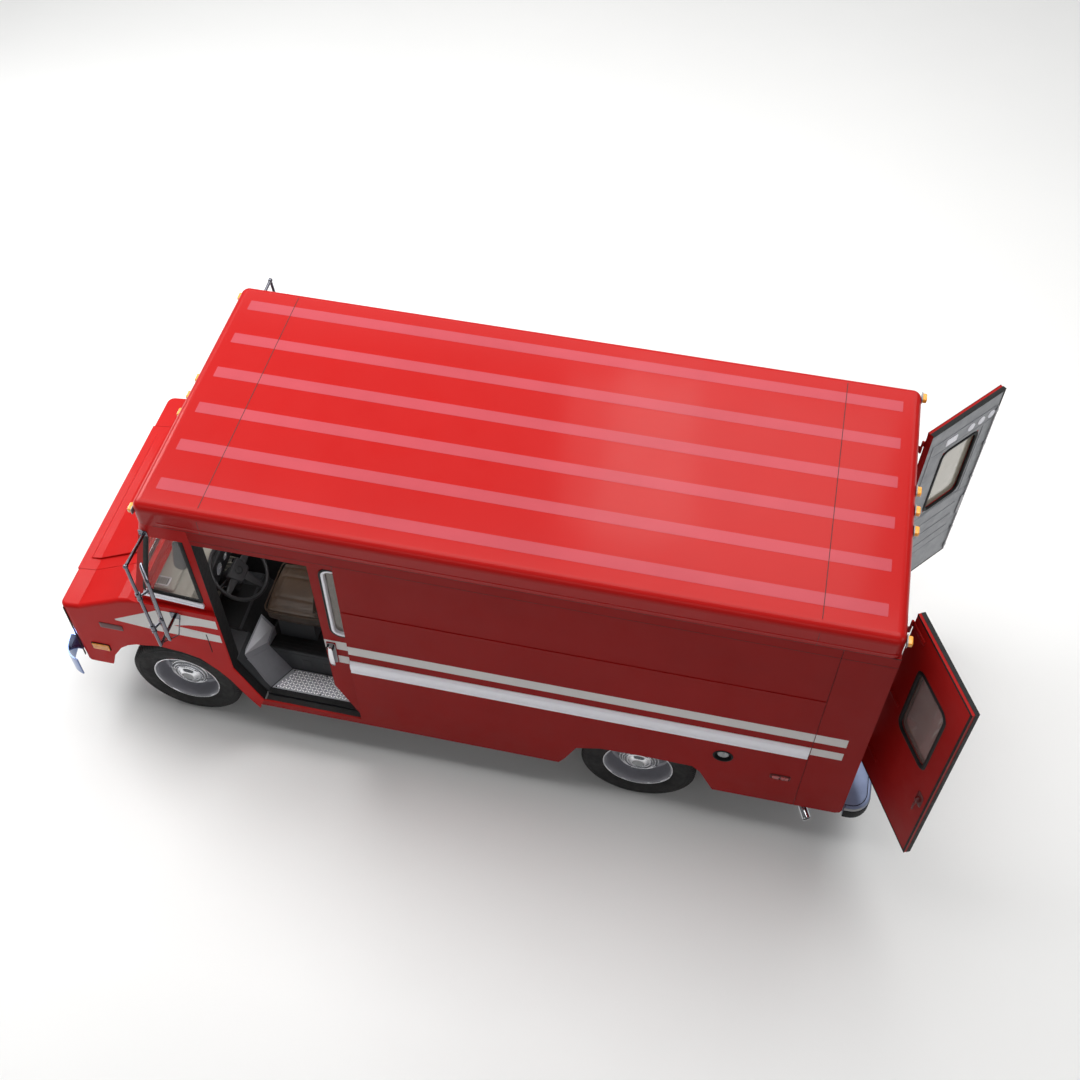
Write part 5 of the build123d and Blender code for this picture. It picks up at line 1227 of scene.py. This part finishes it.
def make_seat():
    low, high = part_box("driver_seat")
    middle_y = (low.y + high.y) / 2
    base = Plane((1.3875, middle_y, 1.06), X, Y, Z)
    bm = bmesh.new()
    soft_block(bm, base, (0.452, 0.468, 0.118), crown=0.014,
               seams=(("b", -0.42), ("b", 0.42), ("a", 0.8), ("b", 0.86), ("b", -0.86)))
    cushion = piece("seat_cushion", bm, "vinyl", "driver_seat", subdivide=1)
    lean = Vector((-0.095, 0, 0.56)).normalized()
    forward = Vector((lean.z, 0, -lean.x))
    back = Plane(Vector((1.1525, middle_y, 1.41)), lean, Y, forward)
    bm = bmesh.new()
    soft_block(bm, back, (0.56, 0.448, 0.088), crown=0.01,
               seams=(("b", -0.42), ("b", 0.42), ("a", 0.62), ("b", 0.86), ("b", -0.86)))
    rest = piece("seat_back", bm, "vinyl", "driver_seat", subdivide=1)
    for name, plane, width, length, height in (("seat_cushion_welt", base, 0.437, 0.452, 0.052),
                                               ("seat_back_welt", back, 0.545, 0.432, 0.038)):
        bm = bmesh.new()
        loop = [plane.at(a, b, height) for a, b in rounded(width, length, 0.055, (0, 0), 8)]
        tube(bm, loop, 0.0048, 8, closed=True)
        piece(name, bm, "vinyl", "driver_seat")
    bm = bmesh.new()
    box(bm, (1.205, middle_y - 0.168, 0.966), (1.575, middle_y + 0.168, 1.0), 0.006)
    for side in (1, -1):
        y = middle_y + side * 0.15
        box(bm, (1.215, y - 0.014, 0.934), (1.57, y + 0.014, 0.966), 0.003)
        tube(bm, smooth_path([(1.3, y, 0.984), (1.16, y, 0.984), (1.128, y, 1.02), (1.118, y, 1.18)]), 0.012,
             12)
    tube(bm, smooth_path([(1.54, middle_y + 0.1, 0.955), (1.605, middle_y + 0.1, 0.95),
                          (1.618, middle_y + 0.07, 0.95), (1.618, middle_y - 0.05, 0.95)]), 0.006, 10)
    piece("seat_frame", bm, "inside_dark", "driver_seat", replaces=["driver_seat"])
    bm = bmesh.new()
    lathe(bm, (1.42, middle_y, 0.701), Z, mm((1, 145), (6, 148), (20, 146), (24, 140.5)), 4,
          angles=[pi / 4 + pi / 2 * k for k in range(4)])
    piece("seat_pedestal_foot", bm, "satin_steel", ROOT)


def make_steering():
    centre = Vector((1.8, 0.525, 1.335))
    normal = Vector((-cos(radians(50)), 0, sin(radians(50))))
    up = Vector((sin(radians(50)), 0, cos(radians(50))))
    wheel = Plane(centre, Y, up, normal)
    bm = bmesh.new()
    count, around = 120, 14
    loops = []
    for i in range(count):
        angle = 2 * pi * i / count
        grip = 0.013 + (0.0012 * abs(sin(angle * 30)) if sin(angle) < 0.75 else 0)
        loop = []
        for k in range(around):
            t = 2 * pi * k / around
            radius = 0.222 + grip * cos(t)
            loop.append(bm.verts.new(wheel.at(radius * cos(angle), radius * sin(angle),
                                              grip * 0.95 * sin(t))))
        loops.append(loop)
    skin(bm, loops, joined=True)
    pad = rounded_polygon(mm((-96, 52), (96, 52), (70, -66), (-70, -66)), 0.022)
    plate(bm, wheel, pad, (-0.04, -0.004), 0.01, 4)
    for s in (1, -1):
        arm = [(s * 0.06, 0.026), (s * 0.216, 0.012), (s * 0.216, -0.02), (s * 0.06, -0.034)]
        plate(bm, wheel, arm, (-0.026, -0.009), 0.005, 3)
    plate(bm, wheel, mm((-34, -55), (34, -55), (20, -214), (-20, -214)), (-0.026, -0.009), 0.005, 3)
    lathe(bm, centre - normal * 0.048, normal, mm((0, 50), (10, 54), (26, 52), (30, 46)), 40)
    piece("steering_wheel_rim", bm, "plastic", "steering_wheel", replaces=["steering_wheel"])
    bm = bmesh.new()
    lathe(bm, centre, normal, mm((-3.5, 30), (1, 30), (4.5, 27), (6, 18), (5.5, 10), (4.5, 0)), 40)
    piece("horn_cap", bm, "cover", "horn_button", replaces=["horn_button"])
    bm = bmesh.new()
    lathe(bm, centre - normal * 0.09, normal, mm((-20, 52), (0, 53.5), (20, 52), (18, 50.5), (-18, 50.5)),
          40, closed=True)
    stalk = Plane(centre - normal * 0.085, Y, up, normal)
    tube(bm, smooth_path([stalk.at(0.045, 0.01, 0), stalk.at(0.1, 0.035, 0.012),
                          stalk.at(0.165, 0.055, 0.02)]), 0.0055, 10)
    lathe(bm, stalk.at(0.165, 0.055, 0.02), (stalk.at(1, 0.35, 0.1) - stalk.at(0, 0, 0)),
          mm((-12, 5.5), (-8, 8), (10, 8.5), (14, 6), (15, 0)), 16)
    piece("turn_signal_stalk", bm, "plastic")


def make_dash():
    face_n = Vector((-1, 0, 0.055)).normalized()
    face = Plane((1.99, 0, 1.29), Y, Vector((0.055, 0, 1)).normalized(), face_n)
    bm = bmesh.new()
    plate(bm, face, rounded(0.42, 0.175, 0.035, (0.525, 0.01), 6), (-0.01, 0.036), 0.008, 3)
    piece("instrument_cluster", bm, "plastic")
    cluster = face.raised(0.0355)
    bm = bmesh.new()
    dials = ((0.41, 0.03), (0.525, 0.046), (0.64, 0.03))
    for y, radius in dials:
        disc(bm, cluster, y, 0.01, [(0.0, radius + 0.006), (0.005, radius + 0.006), (0.007, radius + 0.003),
                                    (0.005, radius), (0.001, radius), (0.0, radius)], 40)
    piece("gauge_bezels", bm, "plastic")
    bm = bmesh.new()
    for y, radius in dials:
        disc(bm, cluster, y, 0.01, [(0.0, radius), (0.0012, radius - 0.0005), (0.0012, 0.0)], 40)
    piece("gauge_faces", bm, "kick_plate", ROOT)
    bm = bmesh.new()
    for y, radius in dials:
        for k in range(11):
            angle = radians(-30 + 24 * k)
            spot = Plane(cluster.at(y + (radius - 0.007) * cos(angle), 0.01 + (radius - 0.007) * sin(angle)),
                         cluster.u * cos(angle) + cluster.v * sin(angle),
                         cluster.v * cos(angle) - cluster.u * sin(angle), cluster.n)
            brick(bm, spot, (-0.0035, 0.0035), (-0.0006, 0.0006), (0.001, 0.0018))
        angle = radians(150 if radius < 0.04 else 205)
        needle = Plane(cluster.at(y, 0.01), cluster.u * cos(angle) + cluster.v * sin(angle),
                       cluster.v * cos(angle) - cluster.u * sin(angle), cluster.n)
        brick(bm, needle, (-0.006, radius - 0.01), (-0.001, 0.001), (0.002, 0.0032))
    piece("gauge_marks", bm, "dial")
    bm = bmesh.new()
    for y in (0.3, 0.34, 0.74, 0.78, 0.82):
        disc(bm, face, y, -0.06, mm((-2, 11), (10, 10.5), (14, 9), (14, 0)), 20)
    piece("dash_knobs", bm, "plastic")
    bm = bmesh.new()
    top = level_plane(1.425)
    for side in (1, -1):
        low, high = sorted((side * 0.43, side * 0.866))
        plate(bm, top, rounded_polygon([(2.13, low), (2.325, low), (2.325, high), (2.13, high)], 0.02),
              (-0.002, 0.029), 0.012, 3)
    piece("dash_top_pods", bm, "dash")
    bm = bmesh.new()
    for side in (1, -1):
        path = rounded(0.106, 0.066, 0.008, (2.232, side * 0.805), 4)
        ring(bm, level_plane(POD_TOP_Z), path, mm((-5, -2), (-5, 4), (4, 5), (7, 0)))
    piece("dash_vent_rings", bm, "cap")
    bm = bmesh.new()
    for side in (1, -1):
        plate(bm, level_plane(POD_TOP_Z), rounded(0.098, 0.058, 0.006, (2.232, side * 0.805), 4),
              (-0.002, 0.0008))
    piece("dash_vent_wells", bm, "cap_dark")
    bm = bmesh.new()
    for side in (1, -1):
        for k in range(5):
            x = 2.199 + 0.0165 * k
            brick(bm, level_plane(POD_TOP_Z), (x - 0.0025, x + 0.0025),
                  (side * 0.805 - 0.028, side * 0.805 + 0.028), (0.0, 0.0028))
    for k in range(9):
        x = 2.2 + 0.012 * k
        brick(bm, top, (x - 0.002, x + 0.002), (-0.3, 0.3), (-0.001, 0.002))
    piece("dash_top_vents", bm, "dash")
    bm = bmesh.new()
    box(bm, (2.035, 0.16, 1.1115), (2.06, 0.2, 1.16), 0.003)
    cover = level_plane(COVER_Z)
    plate(bm, cover, rounded(0.42, 0.4, 0.03, (1.8, -0.06), 5), (-0.001, 0.004), 0.002, 1)
    for x, y in ((1.6, -0.27), (1.6, 0.15), (2.03, -0.27), (2.03, 0.15)):
        plate(bm, cover, rounded(0.05, 0.022, 0.006, (x, y), 3), (-0.001, 0.01), 0.003, 2)
    piece("engine_cover_mat", bm, "rubber")
    bm = bmesh.new()
    tube(bm, smooth_path([(1.7, -0.02, 1.112), (1.695, -0.02, 1.2), (1.665, -0.01, 1.3), (1.64, 0.0, 1.36)]),
         0.007, 12)
    lathe(bm, (1.636, 0.001, 1.372), (-0.35, 0.08, 1), mm((-24, 8), (-16, 16), (0, 22), (14, 18), (22, 8),
                                                          (23, 0)), 24)
    lathe(bm, (1.7, -0.02, 1.113), Z, mm((0, 50), (6, 46), (18, 26), (30, 18), (34, 10), (34, 0)), 28)
    piece("gear_lever", bm, "plastic")


def make_pedal_pads():
    for name, y, width, reach, x in (("brake_pedal", 0.412, 0.09, 0.024, 1.96),
                                     ("accelerator_pedal", 0.292, 0.06, 0.044, 1.975)):
        tilt = Vector((0.028, 0, 2 * reach)).normalized()
        normal = Vector((-tilt.z, 0, tilt.x))
        pad = Plane(Vector((x - 0.052, y, 0.965)), Y, tilt, normal)
        bm = bmesh.new()
        for k in range(5):
            b = -reach * 0.8 + reach * 1.6 * k / 4
            brick(bm, pad, (-width / 2 + 0.006, width / 2 - 0.006), (b - 0.002, b + 0.002), (0.0, 0.004),
                  0.001)
        piece(name + "_ribs", bm, "rubber", name)


def make_visor():
    bm = bmesh.new()
    for side in (1, -1):
        post = Plane((1.963, side * 0.895, 1.935), (0.97, 0, 0.16), (-0.16, 0, 0.97), Y * side)
        plate(bm, post, rounded(0.088, 0.31, 0.04, (0, 0), 6), (-0.012, 0.012), 0.008, 3)
    piece("door_post_pads", bm, "cap_dark", ROOT)
    bm = bmesh.new()
    plane = Plane((2.03, 0.56, 2.262), Y, Vector((-0.182, 0, -0.983)), Vector((0.983, 0, -0.182)))
    plate(bm, plane, rounded(0.536, 0.16, 0.025, (0, 0.084), 5), (-0.0068, 0.0068), 0.003, 2)
    piece("sun_visor_pad", bm, "cover", "sun_visor")


# ------------------------------------------------------------------ mirrors and wipers

def make_mirrors():
    for side, name in SIDES:
        body = f"{name}_mirror"
        shells, faces, rubbers = bmesh.new(), bmesh.new(), bmesh.new()
        for z, height in ((2.05, 0.39), (1.7, 0.26)):
            head = Plane((1.976, side * 1.262, z), (-0.62, side * 0.785, 0), Z, (-0.785, -side * 0.62, 0))
            w, h = 0.176, height
            levels = [(w - 0.006, 0.0), (w, -0.002), (w, -0.008), (w - 0.01, -0.016), (w - 0.034, -0.022),
                      (w - 0.07, -0.0255), (w - 0.12, -0.026)]
            loops = []
            for wide, c in levels:
                shrink = w - wide
                path = rounded(wide, h - shrink, max(0.006, 0.024 - shrink * 0.1), (0, 0), 6)
                loops.append([shells.verts.new(head.at(a, b, c)) for a, b in path])
            skin(shells, loops)
            path = rounded(w - 0.012, h - 0.012, 0.02, (0, 0), 6)
            ring(rubbers, head, path, mm((-4, 0), (-4, 2.2), (2, 2.2), (3, 0)))
            plate(faces, head, rounded(w - 0.018, h - 0.018, 0.017, (0, 0), 6), (0.0001, 0.001))
            x_arm = 2.04 - (2.2 - z) * 0.026 / 0.692
            start = head.at(0, 0, -0.024)
            tube(shells, [start, (x_arm - 0.008, side * 1.322, z)], 0.0085, 12)
            lathe(shells, head.at(0, 0, -0.026), -head.n, mm((-2, 22), (4, 21), (8, 14), (9, 0)), 24)
            for dz in (-0.026, 0.026):
                lathe(shells, (x_arm + dz * 0.0376, side * 1.332, z + dz), (0.0376, 0, 1),
                      mm((-9, 11.2), (-9, 17.5), (9, 17.5), (9, 11.2)), 24, closed=True)
            lathe(shells, (x_arm, side * 1.332, z), (0.0376, 0, 1), mm((-36, 11.2), (-36, 15), (36, 15),
                                                                       (36, 11.2)), 24, closed=True)
        # Shells, arms and brackets take chrome darkened as a painted dark reflection.
        piece(f"{name}_mirror_shells", shells, "arm_chrome_painted_dark_reflection", body, replaces=[body])
        piece(f"{name}_mirror_faces", faces, "mirror", body)
        piece(f"{name}_mirror_rubbers", rubbers, "rubber", body)
        bm = bmesh.new()
        flank = side_plane(side, 1.026)
        screw_heads(bm, flank, [(2.056, 2.286), (2.094, 2.286), (2.056, 2.312), (2.094, 2.312),
                                (2.042, 1.372), (2.086, 1.372), (2.042, 1.42), (2.086, 1.42)], 0.005, 0.003)
        tube(bm, [(2.021, side * 1.028, 1.419), (1.99, side * 1.15, 1.37), (2.0135, side * 1.318, 1.512)],
             0.0045, 10)
        lathe(bm, (2.05, side * 1.324, 2.35), (0, side * 0.9, 0.2), mm((-16, 10), (-10, 15), (0, 16.5),
                                                                       (10, 14), (14, 0)), 20)
        piece(f"{name}_mirror_brackets", bm, "arm_chrome_painted_dark_reflection")


def make_wipers():
    shield = shield_plane()[0]
    for side, name in SIDES:
        bm = bmesh.new()
        lathe(bm, shield.at(side * 0.48, 0.078, 0.0004), shield.n, mm((0, 14), (12, 13.5), (18, 10), (22, 8),
                                                                      (22, 0)), 24)
        tube(bm, smooth_path([shield.at(side * 0.48, 0.078, 0.016), shield.at(side * 0.4, 0.08, 0.0185),
                              shield.at(side * 0.3, 0.084, 0.018), shield.at(side * 0.262, 0.088, 0.015)]),
             0.0055, 10, flat=0.5)
        brick(bm, shield, sorted((side * 0.185, side * 0.335)), (0.0845, 0.0915), (0.0115, 0.0145), 0.001)
        for u in (0.185, 0.335):
            brick(bm, shield, sorted((side * (u - 0.065), side * (u + 0.065))), (0.0855, 0.0905),
                  (0.0095, 0.0118), 0.001)
        piece(f"{name}_wiper_arm", bm, "satin_steel", f"{name}_wiper")


# ------------------------------------------------------------------ lamps, grille, bumpers

def make_lamps():
    amber, base = bmesh.new(), bmesh.new()
    for x, toward, z in ((SHIELD_HEAD[0], 1, 2.48), (REAR_X, -1, 2.524)):
        wall = Plane((x, 0, z), Y * toward, Z, X * toward)
        for y in (-0.975, -0.16, 0.0, 0.16, 0.975):
            plate(base, wall, rounded(0.076, 0.048, 0.01, (y * toward, 0), 4), (-0.001, 0.005), 0.002, 1)
            plate(amber, wall, rounded(0.062, 0.038, 0.01, (y * toward, 0), 4), (0.004, 0.033), 0.009, 4)
    piece("roof_marker_lenses", amber, "amber", replaces=["marker_lights"])
    piece("roof_marker_bases", base, "satin_steel")
    for side, name in SIDES:
        flank = side_plane(side, FLANK_Y)
        bm = bmesh.new()
        ring(bm, flank, rounded(0.132, 0.068, 0.006, (2.761, 0.788), 3), mm((0, 0), (0, 6), (3, 6), (4, 0)))
        piece(f"{name}_side_marker_frame", bm, "rubber")
        bm = bmesh.new()
        plate(bm, flank, rounded(0.128, 0.064, 0.006, (2.761, 0.788), 3), (0.0, 0.012), 0.004, 3)
        for k in range(3):
            brick(bm, flank, (2.705, 2.817), (0.769 + 0.018 * k, 0.773 + 0.018 * k), (0.011, 0.0138), 0.001)
        piece(f"{name}_side_marker_lens", bm, "amber_side")
        bm = bmesh.new()
        plate(bm, flank, rounded(0.138, 0.058, 0.012, (-2.121, 0.783), 4), (0.0, 0.004), 0.002, 2)
        ring(bm, flank, rounded(0.126, 0.046, 0.01, (-2.121, 0.783), 4),
             mm((0, 3), (0, 7.5), (3, 7.5), (4, 3)))
        piece(f"{name}_rear_marker_base", bm, "badge")
        bm = bmesh.new()
        for k in (-1, 1):
            plate(bm, flank, rounded(0.054, 0.038, 0.009, (-2.121 + 0.03 * k, 0.783), 4), (0.003, 0.011),
                  0.004, 3)
        piece(f"{name}_rear_marker_lens", bm, "red_lens")
    tail, tail_amber, bezels = bmesh.new(), bmesh.new(), bmesh.new()
    back = Plane((REAR_X, 0, 0), Y, Z, -X)
    for side in (1, -1):
        for z, target, size in ((1.345, tail, 0.048), (1.235, tail_amber, 0.048)):
            disc(target, back, side * 0.89, z, [(0.002, size), (0.012, size * 0.97), (0.018, size * 0.8),
                                                (0.0205, size * 0.45), (0.021, 0.0)], 40)
            disc(bezels, back, side * 0.89, z, [(0.0, size + 0.01), (0.008, size + 0.009),
                                                (0.011, size + 0.005), (0.01, size + 0.001), (0.003, size),
                                                (0.0, size)], 40)
    piece("tail_lenses", tail, "tail_lens")
    piece("rear_turn_lenses", tail_amber, "amber")
    piece("tail_lamp_bezels", bezels, "chrome")
    bowl, cover, trim = bmesh.new(), bmesh.new(), bmesh.new()
    for side in (1, -1):
        place = (2.906, side * 0.69, 0.96)
        lathe(bowl, place, X, mm((0, 30), (10, 55), (22, 74), (36, 86), (36, 92), (0, 92)), 48)
        lathe(bowl, place, X, mm((2, 10), (16, 10), (22, 7), (23, 0)), 16)
        lathe(cover, place, X, mm((37.5, 86.5), (46, 70), (52, 45), (55, 20), (55.5, 0)), 48)
        lathe(trim, place, X, mm((30, 95.5), (52, 96), (55.5, 93), (53.5, 88.5), (42, 86.5), (40, 87)), 56,
              closed=True)
    piece("headlight_reflectors", bowl, "chrome")
    piece("headlight_lenses", cover, "lamp_glass", replaces=["headlights"])
    piece("headlight_rims", trim, "chrome")


def make_front_details():
    front = Plane((NOSE_X, 0, 0), Y, Z, X)
    bm = bmesh.new()
    ring(bm, front, rounded(0.938, 0.398, 0.012, (0, 0.9), 4), mm((0, -10), (0, 10.5), (12, 10.5), (16, 2),
                                                                  (16, -10)))
    piece("grille_surround", bm, "chrome")
    cowl = Plane((2.384, 0, 1.4625), X, Y, Z)
    bm = bmesh.new()
    for k in range(22):
        y = -0.52 + 0.0495 * k
        plate(bm, cowl, rounded(0.02, 0.036, 0.006, (0.002, y), 3), (-0.0006, 0.0024), 0.001, 1)
    piece("cowl_vent_louvres", bm, "red")
    bm = bmesh.new()
    for side in (1, -1):
        tube(bm, [(2.8, side * 0.7035, 1.2655), (2.48, side * 0.7035, 1.43)], 0.0018, 6)
        brick(bm, side_plane(side, FLANK_Y), (2.93, 2.9322), (0.62, 1.22), (-0.012, 0.0005))
    piece("hood_gap_rubbers", bm, "seam")
    bm = bmesh.new()
    for y in (-0.41, 0.41, -0.8, 0.8):
        x = 3.1215 if abs(y) < 0.5 else 3.111
        lathe(bm, (x, y, 0.532), X, mm((-4, 13), (2, 12.5), (5.5, 9), (7, 0)), 20)
    piece("front_bumper_bolts", bm, "chrome")


def bumper_path(offset, steps=10):
    """Plan outline of the rear bumper's outer face, moved out by an offset."""
    points = [(-2.602, 1.006 + offset)]
    for k in range(steps + 1):
        angle = pi / 2 * k / steps
        points.append((-2.64 - (0.132 + offset) * sin(angle), 0.86 + (0.146 + offset) * cos(angle)))
    mirrored = [(x, -y) for x, y in reversed(points)]
    return points + mirrored


def make_rear_bumper():
    plan = level_plane(0.505)
    bm = bmesh.new()
    plate(bm, plan, [(x, y) for x, y in bumper_path(-0.028)], (-0.001, 0.003), 0.0015, 2)
    for i in range(10):
        for j in range(-46, 47):
            x, y = -2.615 - 0.0135 * i, j * 0.0205 + (0.01 if i % 2 else 0)
            if x > -2.735 and abs(y) < 0.945 - max(0.0, (-2.66 - x)) * 1.1:
                lathe(bm, (x, y, 0.5078), Z, mm((0, 3.5), (0.8, 2.2), (0.8, 0)), 6)
    piece("rear_bumper_tread", bm, "bumper_blue")
    bm = bmesh.new()
    outer, inner = bumper_path(0.006), bumper_path(-0.002)
    strip = outer + inner[::-1]
    low = level_plane(0.387)
    plate(bm, low, strip, (0.0, 0.082), 0.003, 2)
    groove_out, groove_in = bumper_path(-0.0225), bumper_path(-0.0275)
    plate(bm, plan, groove_out + groove_in[::-1], (-0.001, 0.0012))
    piece("rear_bumper_rubber", bm, "rubber")
    bm = bmesh.new()
    plate(bm, level_plane(0.47), bumper_path(0.0015) + bumper_path(-0.002)[::-1], (0.0, 0.03), 0.001, 1)
    piece("rear_bumper_edge", bm, "satin_steel", ROOT)


def make_exhaust_tip():
    start, stop = Vector((-2.262, 0.833, 0.3775)), Vector((-2.372, 1.056, 0.334))
    along = (stop - start).normalized()
    reach = (stop - start).length
    bm = bmesh.new()
    lathe(bm, start, along, [(0.0, 0.0258), (0.004, 0.032), (reach - 0.006, 0.0325), (reach, 0.031),
                             (reach - 0.002, 0.029), (0.02, 0.0285), (0.01, 0.0258)], 40, closed=True)
    piece("exhaust_tip", bm, "chrome")


def make_cargo_details():
    bm = bmesh.new()
    for side in (1, -1):
        wall = side_plane(side, 0.971).turned_over()
        for z in (1.12, 1.42, 1.72, 2.02):
            brick(bm, wall, (-2.3, -0.06), (z - 0.045, z + 0.045), (0.0, 0.006), 0.002)
    piece("cargo_wall_slats", bm, "inside_white")
    bm = bmesh.new()
    for x in (-1.9, -0.7, 0.5):
        lathe(bm, (x, 0, 2.5435), -Z, mm((0, 60), (10, 60), (18, 50), (22, 30), (23, 0)), 32)
    piece("dome_lamps", bm, "lamp_glass")


def make_floor():
    s = Surface("studio_floor", (0.84, 0.84, 0.83), 0.6, Specular_IOR_Level=0.2)
    s.tone(s.remap(s.noise(0.35, 3, 0.5), 0.35, 0.7), (0.82, 0.82, 0.81), 0.6)
    s.roughness(s.noise(3, 3), 0.48, 0.62)
    s.bump(s.noise(60, 3), 0.02, 0.001)
    bm = bmesh.new()
    bmesh.ops.create_grid(bm, x_segments=8, y_segments=8, size=60)
    mesh = bpy.data.meshes.new("studio_floor")
    bm.to_mesh(mesh)
    bm.free()
    mesh.materials.append(s.material)
    floor = bpy.data.objects.new("studio_floor", mesh)
    bpy.context.scene.collection.objects.link(floor)
    floor.location.z = -0.001


make_camera()
make_studio()
materials = make_materials()
dress_cad_nodes()
for make in (make_wheels, make_roof_details, make_stripes, make_rub_rails, make_filler_trim,
             make_window_seals, make_doorway_seals, make_side_door_details, make_rear_doors,
             make_step_plates, make_seat, make_steering, make_dash, make_pedal_pads, make_visor,
             make_mirrors, make_wipers, make_lamps, make_front_details, make_rear_bumper, make_exhaust_tip,
             make_cargo_details, make_floor):
    make()
